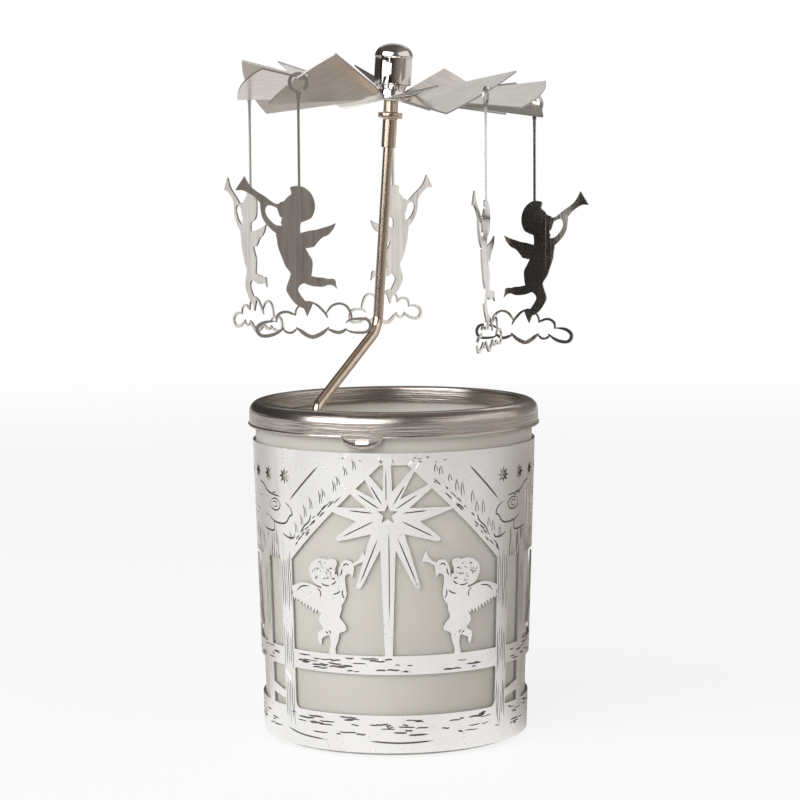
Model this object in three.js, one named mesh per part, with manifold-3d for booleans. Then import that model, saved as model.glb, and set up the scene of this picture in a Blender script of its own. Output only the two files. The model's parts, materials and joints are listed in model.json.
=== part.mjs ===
// Angel lantern: a frosted tealight glass in a pierced silver sleeve, with a rim ring that
// carries a bent rod. A ten-bladed rotor spins on a needle at the rod's top, driven by the
// warm air of the tealight, and five trumpeting angels hang from its blades.
// Millimetres, +Z up, the origin at the centre of the glass's underside. The front is at -Y.
// An azimuth is measured from the front, positive towards +X.

import * as THREE from 'three';
import { mergeVertices } from 'three/addons/utils/BufferGeometryUtils.js';
import Module from 'manifold-3d';

const wasm = await Module();
wasm.setup();

// Driving dimensions

const CLEAR = 0.3; // gap between pieces that touch on the real object
const RUN_CLEAR = 0.45; // gap round the turning hub
const ROUND = 40; // facets of the glass, the sleeve and the ring

const GLASS_HEIGHT = 77;
const GLASS_FOOT_RADIUS = 30;
const GLASS_MOUTH_RADIUS = 32.3;
const GLASS_WALL = 2.2;
const GLASS_FLOOR = 5;
const GLASS_CORNER = 2.2; // rounding under the glass
const GLASS_FLOOR_ROUND = 3; // rounding inside, round the floor

const SLEEVE_SHEET = 0.4;
const SLEEVE_BOTTOM = 1;
const SLEEVE_SHOW = 8.1; // band of bare glass between the sleeve and the mouth
const SLEEVE_SEAM = 0.5; // open butt joint at the back

const BAY_HALF = 25.8; // half width of a large window
const POST_WIDTH = 3.9;
const SLIT_WIDTH = 5.3; // narrow opening beside each post
const TRUNK_WIDTH = 3;
const SILL_HEIGHT = 9.6; // height of the lower windows' bottom edge
const RAIL_BOTTOM = 18.9;
const RAIL_TOP = 23.2;
const ROOF_BAND = 2.7; // plain band over the gable
const GABLE_TOP_HALF = 3;
const EAVE_DROP = 22.4; // from the gable's top to its eaves
const SIDE_HEAD = 43.6; // top of the openings between the bays
const LOWER_ROUND = 1.6; // corner rounding of the lower windows

const STAR_DROP = 13.7; // the large star's centre under the sleeve's top
const STAR_SHIFT = -1.4;
const STAR_REACH = 18.2; // length of the longest ray
const STAR_HOLE = 2.3;
const SKY_STAR_DROP = 6.3; // the row of small stars under the sleeve's top
const SKY_STAR_COUNT = 8;
const SKY_STAR_RADIUS = 1.9;
const SKY_STAR_OVERRUN = 2.4; // how far each row runs over the bays beside it
const BLOWER_HEIGHT = 23.8; // from the rail to the top of the horn
const TREE_HEIGHT = 19;

const RING_SHEET = 0.5;
const RING_ROUND = 2.5; // rolled outer shoulder
const RING_OVERHANG = 0.45; // of the skirt's inside past the gap round the glass
const SKIRT_DEPTH = 5.6; // below the ring's top face
const SKIRT_FLARE = 0.3;
const SKIRT_LIP = 0.8;
const FLANGE_DEPTH = 4.6;
const FLANGE_ROUND = 0.6; // where the top turns down into the flange
const TAB_WIDTH = 9.4;
const TAB_DROP = 2.2;
const TAB_COUNT = 3;
const TAB_AZIMUTH = -12;
const TAB_OVERLAP = 0.2; // of a tab with the skirt above its lip

const ROD_RADIUS = 1.17;
const ROD_AZIMUTH = -38;
const ROD_BEND_RISE = 17.1; // from the glass's mouth up to the rod's bend
const ROD_BEND_RADIUS = 6;
const ROD_KNEE_RADIUS = 2.6; // bend above the rod's foot
const ROD_SLOPE = 31.5; // degrees below level of the sloping run
const SPINDLE_LEAN = 3.9; // degrees, the hand-bent rod leans to +X
const WELD_SIZE = 2.4;

const HUB_RISE = 70.3; // from the glass's mouth to the underside of the rotor sheet
const SOCKET_WALL = 0.33;
const SOCKET_FIT = 0.15; // rod and needle in the socket
const SOCKET_BOTTOM = -11.4; // heights on the spindle count from the rotor sheet
const SOCKET_TOP = 1.5;
const COLLAR_RADIUS = 2.8;
const COLLAR_HEIGHT = 1.3;
const COLLAR_DROP = 4.7;
const NEEDLE_RADIUS = 0.55;
const NEEDLE_POINT = 1.8;
const NEEDLE_TIP = 8.3;

const ROTOR_RADIUS = 35.4;
const ROTOR_SHEET = 0.4;
const ROTOR_HUB = 4.4;
const BLADE_SLIT = 0.6;
// The blades were bent by hand: each blade's twist and its rise outwards, in degrees, by azimuth.
const BLADES = {
  0: [17, -1], 36: [29, 3.7], 72: [18, 4.6], 108: [21, 2.8], 144: [28, 5.5], 180: [27, 5],
  '-144': [27, 4], '-108': [33, 0.8], '-72': [19, 1.5], '-36': [33, 4.7],
};
const BLADE_ROOT = 5; // length over which a blade takes up its twist

const CAP_RADIUS = 4.25;
const CAP_WALL = 0.6;
const CAP_BOTTOM = 2.9;
const CAP_SHOULDER = 9.4;
const CAP_TOP = 12.4;
const CAP_RIM = 0.12; // the dome stands proud of the cap's side
const BUSH_WALL = 0.5;
const BUSH_FLANGE = 3.5;
const CUP_BOTTOM = 7.6;
const CUP_HEIGHT = 1.7;

const PENDANT_AZIMUTHS = { front_left: -36, front_right: 36, right: 108, rear: 180, left: -108 };
const PENDANT_TURNS = { front_left: 40, front_right: 50, right: 50, rear: 42, left: 43 };
const PENDANT_SHEET = 0.4;
const EYE_INNER = 1.6;
const EYE_OUTER = 2.3;
const EYE_SEAT = 0.4; // gap between the eye and the blade it hangs on
const EYE_EDGE = 0.3; // from the blade's outer edge in to the eye's centre
const EYE_HOLE = 1.15;
const EYE_HOLE_STEP = 1.5; // along the eye's plane from its centre to the hole's centre
const STEM_WIDTH = 0.5;
const FIGURE_DROP = 22.6; // from the eye's centre to the top of the hair
const FIGURE_HEIGHT = 33.7;

const CANDLE_RADIUS = 19;
const CANDLE_CUP_HEIGHT = 16;
const CANDLE_FOIL = 0.5;
const WAX_HEIGHT = 12.5;
const WICK_RADIUS = 0.7;
const WICK_HEIGHT = 19;
const TAB_DISC_RADIUS = 6.5;
const TAB_DISC_SHEET = 0.4;
const TAB_TUBE_HEIGHT = 3;

// Derived sizes

const rad = THREE.MathUtils.degToRad;
const glassRadius = (z) =>
  GLASS_FOOT_RADIUS + ((GLASS_MOUTH_RADIUS - GLASS_FOOT_RADIUS) * z) / GLASS_HEIGHT;
const sleeveInner = (z) => glassRadius(z) + CLEAR;
const SLEEVE_TOP = GLASS_HEIGHT - SLEEVE_SHOW;
const FLAT_WIDTH = 2 * Math.PI * (sleeveInner((SLEEVE_BOTTOM + SLEEVE_TOP) / 2) + SLEEVE_SHEET);
const RING_ROOF = GLASS_HEIGHT + CLEAR;
const RING_TOP = RING_ROOF + RING_SHEET;
const ROD_BEND_HEIGHT = GLASS_HEIGHT + ROD_BEND_RISE;
const HUB_HEIGHT = GLASS_HEIGHT + HUB_RISE;
const SOCKET_BORE = ROD_RADIUS + SOCKET_FIT;
const BLADE_COUNT = Object.keys(BLADES).length;
const BUSH_BORE = SOCKET_BORE + SOCKET_WALL + RUN_CLEAR;

const steel = (color, roughness, metalness = 1) =>
  new THREE.MeshStandardMaterial({ color, roughness, metalness });
const frost = new THREE.MeshStandardMaterial({
  color: 0xcfccc4, roughness: 0.6, metalness: 0, transparent: true, opacity: 0.6,
});
const silver = steel(0xe4e2dd, 0.25);
const brushed = steel(0x8a8480, 0.35);
const nickel = steel(0xb8a892, 0.25);
const blade = steel(0xd2cfc8, 0.2);
const chrome = steel(0x9a9594, 0.08);
const brass = steel(0xb59a5a, 0.3);
const foil = steel(0xc8c8ca, 0.4);
const wax = steel(0xf2efe6, 0.6, 0);
const cotton = steel(0xe8e2d0, 0.9, 0);

// Helpers

function toSolid(geometry) {
  const bare = geometry.clone();
  bare.deleteAttribute('normal');
  bare.deleteAttribute('uv');
  const merged = mergeVertices(bare, 1e-5);
  return new wasm.Manifold(new wasm.Mesh({
    numProp: 3,
    vertProperties: new Float32Array(merged.attributes.position.array),
    triVerts: new Uint32Array(merged.index.array),
  }));
}

function toGeometry(solid) {
  const { vertProperties, triVerts } = solid.getMesh();
  const geometry = new THREE.BufferGeometry();
  geometry.setAttribute('position', new THREE.BufferAttribute(new Float32Array(vertProperties), 3));
  geometry.setIndex([...triVerts]);
  return geometry;
}

function union(geometries) {
  return geometries.map(toSolid).reduce((whole, next) => whole.add(next));
}

function piece(name, geometry, material) {
  const mesh = new THREE.Mesh(geometry, material);
  mesh.name = name;
  return mesh;
}

// A turned piece about Z. The profile holds [radius, height] points, anticlockwise from inside.
function turned(profile, facets = 24) {
  const points = profile.map(([r, z]) => new THREE.Vector2(r, z));
  if (points[0].x > 0) points.push(points[0].clone());
  return new THREE.LatheGeometry(points, facets).rotateX(Math.PI / 2);
}

// Points of an arc in the profile's plane, ends included.
function arc(cx, cy, radius, from, to, steps) {
  return Array.from({ length: steps + 1 }, (_, i) => {
    const a = rad(from + ((to - from) * i) / steps);
    return [cx + radius * Math.cos(a), cy + radius * Math.sin(a)];
  });
}

function shapeOf(points) {
  return new THREE.Shape(points.map(([x, y]) => new THREE.Vector2(x, y)));
}

// A flat plate cut to an outline, lying in XY with its thickness along +Z.
function plate(points, thickness) {
  return new THREE.ExtrudeGeometry(shapeOf(points), { depth: thickness, bevelEnabled: false });
}

// A band of tapering width along a smooth open curve.
function band(points, startWidth, endWidth = startWidth, steps = 2) {
  const curve = new THREE.SplineCurve(points.map(([x, y]) => new THREE.Vector2(x, y)));
  const count = (points.length - 1) * steps;
  const left = [];
  const right = [];
  for (let i = 0; i <= count; i++) {
    const at = curve.getPoint(i / count);
    const along = curve.getTangent(i / count);
    const half = (startWidth + ((endWidth - startWidth) * i) / count) / 2;
    left.push([at.x - along.y * half, at.y + along.x * half]);
    right.unshift([at.x + along.y * half, at.y - along.x * half]);
  }
  return [...right, ...left];
}

function starOutline(cx, cy, points, outer, inner, turn = 90) {
  return Array.from({ length: 2 * points }, (_, i) => {
    const a = rad(turn + (180 * i) / points);
    const r = i % 2 ? inner : outer;
    return [cx + r * Math.cos(a), cy + r * Math.sin(a)];
  });
}

const moved = (points, dx, dy, flip = 1) => {
  const out = points.map(([x, y]) => [dx + flip * x, dy + y]);
  return flip < 0 ? out.reverse() : out;
};

// Glass

function glassTumbler() {
  const lip = GLASS_WALL / 2;
  const inside = (z) => glassRadius(z) - GLASS_WALL;
  const top = GLASS_HEIGHT - lip;
  const profile = [
    [0, 0],
    ...arc(glassRadius(GLASS_CORNER) - GLASS_CORNER, GLASS_CORNER, GLASS_CORNER, -90, 0, 4),
    ...arc(glassRadius(top) - lip, top, lip, 0, 180, 6),
    ...arc(inside(GLASS_FLOOR) - GLASS_FLOOR_ROUND, GLASS_FLOOR + GLASS_FLOOR_ROUND,
      GLASS_FLOOR_ROUND, 0, -90, 3),
    [0, GLASS_FLOOR],
  ];
  return piece('glass_tumbler', turned(profile, ROUND), frost);
}

// Sleeve: drawn flat, x round the glass and y its height, then bent to the glass's cone

const skyStarY = SLEEVE_TOP - SKY_STAR_DROP;
const gableTop = SLEEVE_TOP - ROOF_BAND;
const eave = gableTop - EAVE_DROP;
const bayEdge = BAY_HALF + POST_WIDTH;
const bayStep = FLAT_WIDTH / 4;
const sideHalf = bayStep - bayEdge; // half width of the stretch between two bays

function gableWindow() {
  return [
    [-BAY_HALF, RAIL_TOP], [BAY_HALF, RAIL_TOP], [BAY_HALF, eave],
    [GABLE_TOP_HALF, gableTop], [-GABLE_TOP_HALF, gableTop], [-BAY_HALF, eave],
  ];
}

function lowerWindow() {
  const x = BAY_HALF - LOWER_ROUND;
  const y = SILL_HEIGHT + LOWER_ROUND;
  return [
    ...arc(-x, y, LOWER_ROUND, 180, 270, 3), ...arc(x, y, LOWER_ROUND, 270, 360, 3),
    [BAY_HALF, RAIL_BOTTOM], [-BAY_HALF, RAIL_BOTTOM],
  ];
}

// Rays of the large star: [degrees from straight up, length], and the notches between them.
const STAR_RAYS = [[30, 14.6], [56, 16.5], [85, 16], [117, 13.2], [158, 18.2]];
const STAR_NOTCHES = [[11, 5.3], [39, 4.4], [73, 5], [103, 7.3], [140, 5.8], [168, 8.2]];

function largeStar() {
  const centreY = SLEEVE_TOP - STAR_DROP;
  const size = STAR_REACH / Math.max(...STAR_RAYS.map(([, r]) => r));
  const polar = ([deg, r], side) =>
    [side * size * r * Math.sin(rad(deg)), centreY + size * r * Math.cos(rad(deg))];
  const side = (sign) => STAR_NOTCHES.flatMap((notch, i) =>
    i < STAR_RAYS.length ? [polar(notch, sign), polar(STAR_RAYS[i], sign)] : [polar(notch, sign)]);
  const footHalf = 0.85;
  const headHalf = 0.8;
  return [
    [headHalf, gableTop + 1], ...side(1),
    [footHalf, RAIL_TOP - 1], [-footHalf, RAIL_TOP - 1],
    ...side(-1).reverse(), [-headHalf, gableTop + 1],
  ].reverse();
}

// The horn blower of the left half of a bay, from the bay's middle and the rail's top edge.
const HORN_BLOWER = [
  [[-20.4, 18.3], [-20.1, 19.9], [-18.7, 21.1], [-16.8, 21.6], [-14.5, 21.6], [-13.3, 21.4],
    [-13.2, 20.4], [-13.6, 19.3], [-12.9, 17.5], [-13.9, 16.1], [-15.7, 15.3], [-17.9, 15.3],
    [-19.5, 16.3]],
  [[-16.8, 15.7], [-13.2, 16.9], [-12.7, 19], [-12.2, 20.5], [-11.3, 21.5], [-9.8, 21.4],
    [-9.1, 20.3], [-9.1, 19.2], [-9.5, 17.6], [-10, 18.4], [-10.7, 18.3], [-11.2, 17.5],
    [-10.9, 13.7], [-11.5, 12.1], [-12.2, 10.1], [-12.7, 8.4], [-11.5, 7], [-11.1, 5.8],
    [-11.7, 5.3], [-12.8, 4.8], [-13.2, 3.1], [-13.9, 1.2], [-13.8, -0.7], [-15, -0.8],
    [-15.5, 0.4], [-15.1, 2], [-15.3, 4.1], [-16.4, 3.9], [-17.3, 3.4], [-17.4, 2.4], [-17.9, 1.9],
    [-18.3, 3], [-18.4, 4.6], [-17, 5.6], [-18.1, 7.7], [-17.3, 9.7], [-17.9, 12.2]],
  [[-17, 14.6], [-18.5, 15.1], [-20.3, 15.6], [-22.2, 15.7], [-24.1, 15.2], [-26.4, 14.3],
    [-26.4, 11.3], [-25.2, 11.8], [-24.8, 11.1], [-23.6, 11.4], [-23.1, 10.5], [-22, 10.8],
    [-21.4, 9.8], [-20.3, 10.2], [-19.7, 9.3], [-18.8, 9.7], [-17.2, 9.4]],
  [[-9.6, 20.7], [-8.2, 21.6], [-7.5, 22.5], [-7, 23.8], [-5.9, 21.2], [-7.2, 21.2], [-8.3, 20.7],
    [-9.3, 20.1]],
];

// Fir tree of a side opening, from the middle of its foot on the rail.
const FIR_TREE = [
  [-1, -0.5], [1, -0.5], [1, 3], [7, 3], [3.4, 8], [5.6, 8], [2.6, 12.6], [4.2, 12.6], [0, 19],
  [-4.2, 12.6], [-2.6, 12.6], [-5.6, 8], [-3.4, 8], [-7, 3], [-1, 3],
];

// Outlines scaled together so that the highest point stands at the given height.
function toHeight(outlines, height) {
  const size = height / Math.max(...outlines.flat().map(([, y]) => y));
  return outlines.map((points) => points.map(([x, y]) => [x * size, y * size]));
}

const blower = toHeight(HORN_BLOWER, BLOWER_HEIGHT);
const [firTree] = toHeight([FIR_TREE], TREE_HEIGHT);

function bayHoles(x) {
  return [moved(gableWindow(), x, 0), moved(lowerWindow(), x, 0)];
}

function bayFigures(x) {
  const star = moved(largeStar(), x + STAR_SHIFT, 0);
  const pair = [1, -1].flatMap((flip) => blower.map((part) => moved(part, x, RAIL_TOP, flip)));
  return [star, ...pair];
}

function sideHoles(x) {
  const box = (x0, x1, y0, y1) => [[x0, y0], [x1, y0], [x1, y1], [x0, y1]];
  const slit = sideHalf - SLIT_WIDTH;
  const middle = slit - TRUNK_WIDTH;
  const spans = [[-sideHalf, -slit], [-middle, middle], [slit, sideHalf]];
  const openings = spans.flatMap(([a, b]) => [
    box(x + a, x + b, RAIL_TOP, SIDE_HEAD), box(x + a, x + b, SILL_HEIGHT, RAIL_BOTTOM),
  ]);
  const reach = sideHalf + SKY_STAR_OVERRUN;
  const stars = Array.from({ length: SKY_STAR_COUNT }, (_, i) => {
    const along = -reach + (2 * reach * i) / (SKY_STAR_COUNT - 1);
    return starOutline(x + along, skyStarY, 8, SKY_STAR_RADIUS, SKY_STAR_RADIUS * 0.38);
  });
  return [...openings, ...stars];
}

// The flat triangles of a sheet, cut into strips between lines of equal x. The faces made by
// an inner cut are left out, and an edge along a cut takes in the corners that both strips have.
function strips(sheet, left, right, step) {
  const tiny = 1e-4;
  const tall = 4 * SLEEVE_TOP;
  const cuts = new Map();
  const inside = (line) => line > left + tiny && line < right - tiny;
  const cells = [];
  for (let cell = Math.floor(left / step); cell * step < right; cell++) {
    const lines = [cell * step, (cell + 1) * step];
    const slab = new THREE.BoxGeometry(step, tall, tall).translate((cell + 0.5) * step, 0, 0);
    const { vertProperties: at, triVerts } = sheet.intersect(toSolid(slab)).getMesh();
    const corner = (i) => new THREE.Vector3(at[3 * i], at[3 * i + 1], at[3 * i + 2]);
    const triangles = [];
    for (let i = 0; i < triVerts.length; i += 3) {
      const tri = [...triVerts.slice(i, i + 3)].map(corner);
      const cut = (line) => inside(line) && tri.every((p) => Math.abs(p.x - line) < tiny);
      if (!lines.some(cut)) triangles.push(tri);
    }
    lines.forEach((line, i) => {
      const key = cell + i;
      if (!cuts.has(key)) cuts.set(key, []);
      const known = cuts.get(key);
      for (const tri of triangles) {
        tri.forEach((p, j) => {
          if (Math.abs(p.x - line) > tiny) return;
          const twin = known.find((v) => Math.abs(v.y - p.y) < tiny && Math.abs(v.z - p.z) < tiny);
          if (twin) tri[j] = twin;
          else known.push(p.setX(line));
        });
      }
    });
    cells.push({ cell, triangles });
  }
  return cells.map(({ cell, triangles }) => {
    const whole = triangles.flatMap((tri) => {
      for (const key of [cell, cell + 1]) {
        for (let i = 0; i < 3; i++) {
          const [p, q, far] = [tri[i], tri[(i + 1) % 3], tri[(i + 2) % 3]];
          const on = (v) => Math.abs(v.x - key * step) < tiny;
          if (!on(p) || !on(q) || Math.abs(p.z - q.z) > tiny) continue;
          const share = (v) => (v.y - p.y) / (q.y - p.y);
          const found = cuts.get(key)
            .filter((v) => Math.abs(v.z - p.z) < tiny && share(v) > 0 && share(v) < 1)
            .filter((v) => Math.abs(v.y - p.y) > tiny && Math.abs(v.y - q.y) > tiny)
            .sort((v, w) => share(v) - share(w));
          const between = found.filter((v, j) => j === 0 || Math.abs(v.y - found[j - 1].y) > tiny);
          const chain = [p, ...between, q];
          return chain.slice(1).map((v, j) => [chain[j], v, far]);
        }
      }
      return [tri];
    });
    return { cell, triangles: whole };
  });
}

// Bends a flat sheet round the cone, each strip laid on the chord of one facet.
function bendRound(sheet, left, right, facets) {
  const step = FLAT_WIDTH / facets;
  const chord = Math.cos(Math.PI / facets);
  const bent = [];
  for (const { cell, triangles } of strips(sheet, left, right, step)) {
    const [a, b] = [cell, cell + 1].map((k) => ((2 * Math.PI) / facets) * k - Math.PI / 2);
    for (const { x, y, z } of triangles.flat()) {
      const share = Math.round((x / step - cell) * 1e6) / 1e6;
      const r = (sleeveInner(y) + z) / chord;
      bent.push(
        r * (Math.cos(a) * (1 - share) + Math.cos(b) * share),
        r * (Math.sin(a) * (1 - share) + Math.sin(b) * share),
        y);
    }
  }
  const geometry = new THREE.BufferGeometry();
  geometry.setAttribute('position', new THREE.Float32BufferAttribute(bent, 3));
  return mergeVertices(geometry, 1e-3);
}

function pictureSleeve() {
  const seam = 2 * bayStep - BAY_HALF - POST_WIDTH / 2;
  const left = seam - FLAT_WIDTH + SLEEVE_SEAM;
  const blank = [[left, SLEEVE_BOTTOM], [seam, SLEEVE_BOTTOM], [seam, SLEEVE_TOP], [left, SLEEVE_TOP]];
  const bays = [0, -2 * bayStep];
  const sides = [-bayStep, bayStep];
  const cut = (points) => toSolid(plate(points, 3 * SLEEVE_SHEET).translate(0, 0, -SLEEVE_SHEET));
  const solid = (points) => toSolid(plate(points, SLEEVE_SHEET));
  let sheet = solid(blank);
  for (const hole of [...bays.flatMap(bayHoles), ...sides.flatMap(sideHoles)]) {
    sheet = sheet.subtract(cut(hole));
  }
  for (const figure of bays.flatMap(bayFigures)) sheet = sheet.add(solid(figure));
  for (const x of sides) sheet = sheet.add(solid(moved(firTree, x, RAIL_TOP)));
  for (const x of bays) {
    const centreY = SLEEVE_TOP - STAR_DROP;
    const hole = starOutline(x + STAR_SHIFT, centreY, 5, STAR_HOLE, STAR_HOLE * 0.42);
    sheet = sheet.subtract(cut(hole));
  }
  return piece('picture_sleeve', bendRound(sheet, left, seam, ROUND), silver);
}

// Rim ring: rolled shoulder, skirt outside the glass, flange inside it, and three spring tabs

const shoulderRadius = glassRadius(GLASS_HEIGHT) + CLEAR + RING_SHEET + RING_OVERHANG;
const flangeBottom = RING_TOP - FLANGE_DEPTH;
const flangeOuter = glassRadius(flangeBottom) - GLASS_WALL - CLEAR;
const flangeInner = flangeOuter - RING_SHEET;
const skirtBottom = RING_TOP - SKIRT_DEPTH;

function rimRing() {
  const inner = RING_ROUND - RING_SHEET;
  const cx = shoulderRadius - RING_ROUND;
  const cz = RING_TOP - RING_ROUND;
  const lipX = shoulderRadius + SKIRT_FLARE;
  const profile = [
    [flangeInner, flangeBottom], [flangeOuter, flangeBottom], [flangeOuter, RING_ROOF],
    ...arc(cx, cz, inner, 90, 0, 4),
    [shoulderRadius - RING_SHEET, skirtBottom + SKIRT_LIP], [lipX - RING_SHEET, skirtBottom],
    [lipX, skirtBottom], [shoulderRadius, skirtBottom + SKIRT_LIP],
    ...arc(cx, cz, RING_ROUND, 0, 90, 4),
    ...arc(flangeInner + FLANGE_ROUND, RING_TOP - FLANGE_ROUND, FLANGE_ROUND, 90, 180, 2),
  ];
  let ring = toSolid(turned(profile, ROUND));
  const half = TAB_WIDTH / 2;
  const drop = TAB_DROP + SKIRT_LIP;
  const tab = plate([[-half, 0], ...arc(0, 0, 1, 180, 360, 12).map(([x, y]) => [x * half, y * drop]),
    [half, 0]], RING_SHEET);
  for (let i = 0; i < TAB_COUNT; i++) {
    const placed = tab.clone().rotateX(Math.PI / 2)
      .translate(0, RING_SHEET - shoulderRadius, skirtBottom + SKIRT_LIP + TAB_OVERLAP)
      .rotateZ(rad(TAB_AZIMUTH + (360 * i) / TAB_COUNT));
    ring = ring.add(toSolid(placed));
  }
  return piece('rim_ring', toGeometry(ring), brushed);
}

// Rod: from the flange up a slope to the middle, then up the leaning spindle line

const leanSlope = Math.tan(rad(SPINDLE_LEAN));
const onSpindle = (z) => new THREE.Vector3(-(HUB_HEIGHT - z) * leanSlope, 0, z);
const rodFootRadius = flangeInner - CLEAR - ROD_RADIUS;
const rodFoot = new THREE.Vector3(
  rodFootRadius * Math.sin(rad(ROD_AZIMUTH)), -rodFootRadius * Math.cos(rad(ROD_AZIMUTH)), flangeBottom);

function roundedPath(corners, radius) {
  const path = new THREE.CurvePath();
  let from = corners[0];
  for (let i = 1; i < corners.length - 1; i++) {
    const at = corners[i];
    const back = corners[i - 1].clone().sub(at).normalize();
    const on = corners[i + 1].clone().sub(at).normalize();
    const reach = radius[i - 1] * Math.tan((Math.PI - back.angleTo(on)) / 2);
    const enter = at.clone().addScaledVector(back, reach);
    const leave = at.clone().addScaledVector(on, reach);
    path.add(new THREE.LineCurve3(from, enter));
    path.add(new THREE.QuadraticBezierCurve3(enter, at, leave));
    from = leave;
  }
  path.add(new THREE.LineCurve3(from, corners.at(-1)));
  return path;
}

function supportRod() {
  const top = onSpindle(HUB_HEIGHT + SOCKET_TOP / 2 - COLLAR_DROP / 2);
  const bend = onSpindle(ROD_BEND_HEIGHT);
  const run = Math.hypot(rodFoot.x - bend.x, rodFoot.y - bend.y);
  const knee = rodFoot.clone().setZ(bend.z - run * Math.tan(rad(ROD_SLOPE)));
  const section = shapeOf(arc(0, 0, ROD_RADIUS, 0, 330, 11));
  const path = roundedPath([top, bend, knee, rodFoot], [ROD_BEND_RADIUS, ROD_KNEE_RADIUS]);
  const rod = new THREE.ExtrudeGeometry(section, { steps: 44, extrudePath: path });
  return piece('support_rod', rod, nickel);
}

// Bead of weld round the rod's foot, clear of the rod and of the flange.
function rodWeld() {
  const bead = new THREE.SphereGeometry(WELD_SIZE, 16, 10).scale(1, 1, 0.8)
    .translate(rodFoot.x, rodFoot.y, rodFoot.z + WELD_SIZE * 0.3);
  const rodRoom = new THREE.CylinderGeometry(ROD_RADIUS + CLEAR, ROD_RADIUS + CLEAR, 8, 24)
    .rotateX(Math.PI / 2).translate(rodFoot.x, rodFoot.y, rodFoot.z + 4 - CLEAR);
  const reach = flangeInner + 6;
  const ringRoom = turned([[flangeInner - CLEAR, flangeBottom - 5], [reach, flangeBottom - 5],
    [reach, RING_TOP + 5], [flangeInner - CLEAR, RING_TOP + 5]], ROUND);
  const solid = toSolid(bead).subtract(toSolid(rodRoom)).subtract(toSolid(ringRoom));
  return piece('rod_weld', toGeometry(solid), nickel);
}

// Spindle pieces, in the leaning frame with its origin under the rotor sheet

function bearingSocket() {
  const outer = SOCKET_BORE + SOCKET_WALL;
  const edge = 0.3; // chamfer of the collar
  const profile = [
    [SOCKET_BORE, SOCKET_BOTTOM], [outer, SOCKET_BOTTOM], [outer, -COLLAR_DROP],
    [COLLAR_RADIUS - edge, -COLLAR_DROP], [COLLAR_RADIUS, -COLLAR_DROP + edge],
    [COLLAR_RADIUS, -COLLAR_DROP + COLLAR_HEIGHT - edge],
    [COLLAR_RADIUS - edge, -COLLAR_DROP + COLLAR_HEIGHT],
    [outer, -COLLAR_DROP + COLLAR_HEIGHT], [outer, SOCKET_TOP], [SOCKET_BORE, SOCKET_TOP],
  ];
  return piece('bearing_socket', turned(profile, 16), nickel);
}

function pivotNeedle() {
  const seat = SOCKET_TOP / 2 - COLLAR_DROP / 2 + CLEAR;
  const shank = SOCKET_BORE - SOCKET_FIT;
  const profile = [
    [0, seat], [shank, seat], [shank, SOCKET_TOP + 0.4], [NEEDLE_RADIUS, SOCKET_TOP + 0.9],
    [NEEDLE_RADIUS, NEEDLE_TIP - NEEDLE_POINT], [0, NEEDLE_TIP],
  ];
  return piece('pivot_needle', turned(profile, 16), brushed);
}

function hubBush() {
  const neck = BUSH_BORE + BUSH_WALL;
  const spigot = CAP_RADIUS - CAP_WALL - CLEAR;
  const top = CAP_BOTTOM + 1.6;
  const shoulder = ROTOR_SHEET + CLEAR;
  const flangeSheet = 0.4; // of the flange that carries the rotor from below
  const profile = [
    [BUSH_BORE, -CLEAR - flangeSheet], [BUSH_FLANGE - 0.2, -CLEAR - flangeSheet],
    [BUSH_FLANGE, -CLEAR],
    [neck, -CLEAR], [neck, shoulder], [neck + 0.6, shoulder],
    [neck + 0.45, (shoulder + CAP_BOTTOM) / 2], [spigot, CAP_BOTTOM - 0.2], [spigot, top],
    [BUSH_BORE, top],
  ];
  return piece('hub_bush', turned(profile, 24), chrome);
}

function hubCap() {
  const inner = CAP_RADIUS - CAP_WALL;
  const dome = (radius, top, from, steps) => Array.from({ length: steps + 1 }, (_, i) => {
    const a = rad(from + ((90 - from) * i) / steps);
    return [radius * Math.cos(a), CAP_SHOULDER + (top - CAP_SHOULDER) * Math.sin(a)];
  });
  const rim = CAP_RADIUS + CAP_RIM;
  const profile = [
    [inner, CAP_BOTTOM], [CAP_RADIUS - 0.35, CAP_BOTTOM], [CAP_RADIUS, CAP_BOTTOM + 0.35],
    [CAP_RADIUS, CAP_SHOULDER - 0.15], ...dome(rim, CAP_TOP, 0, 6),
    ...dome(inner, CAP_TOP - CAP_WALL, 0, 4).reverse(),
  ];
  profile.push(profile[0]);
  // The outer dome ends on the axis and the inner one starts there, so the profile closes.
  const start = profile.findIndex(([r]) => Math.abs(r) < 1e-6);
  const ring = [...profile.slice(start + 1, -1), ...profile.slice(0, start + 1)];
  return piece('hub_cap', turned(ring.map(([r, z]) => [Math.max(r, 0), z]), 24), chrome);
}

function bearingCup() {
  const radius = CAP_RADIUS - CAP_WALL - CLEAR;
  const mouth = 1.2;
  const profile = [
    [0, NEEDLE_TIP + CLEAR], [mouth, CUP_BOTTOM], [radius, CUP_BOTTOM],
    [radius, CUP_BOTTOM + CUP_HEIGHT], [0, CUP_BOTTOM + CUP_HEIGHT],
  ];
  return piece('bearing_cup', turned(profile, 24), brass);
}

// Rotor: one sheet, slit into blades that are twisted about their middle lines

// A point of a blade at flat radius r and flat angle b from its middle line, in the
// spindle's frame. The twist and the rise come in smoothly over the blade's root.
function bladePoint(azimuth, r, b, lift = 0) {
  const out = r * Math.cos(b);
  const grow = THREE.MathUtils.smoothstep(out, ROTOR_HUB, ROTOR_HUB + BLADE_ROOT);
  const [pitch, cone] = BLADES[azimuth].map(rad);
  const twist = pitch * grow;
  const along = r * Math.sin(b);
  const across = along * Math.cos(twist);
  const rise = Math.max(0, out - ROTOR_HUB) * Math.tan(cone);
  const a = rad(azimuth);
  return new THREE.Vector3(
    out * Math.sin(a) + across * Math.cos(a),
    -out * Math.cos(a) + across * Math.sin(a),
    along * Math.sin(twist) + rise + lift);
}

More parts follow.
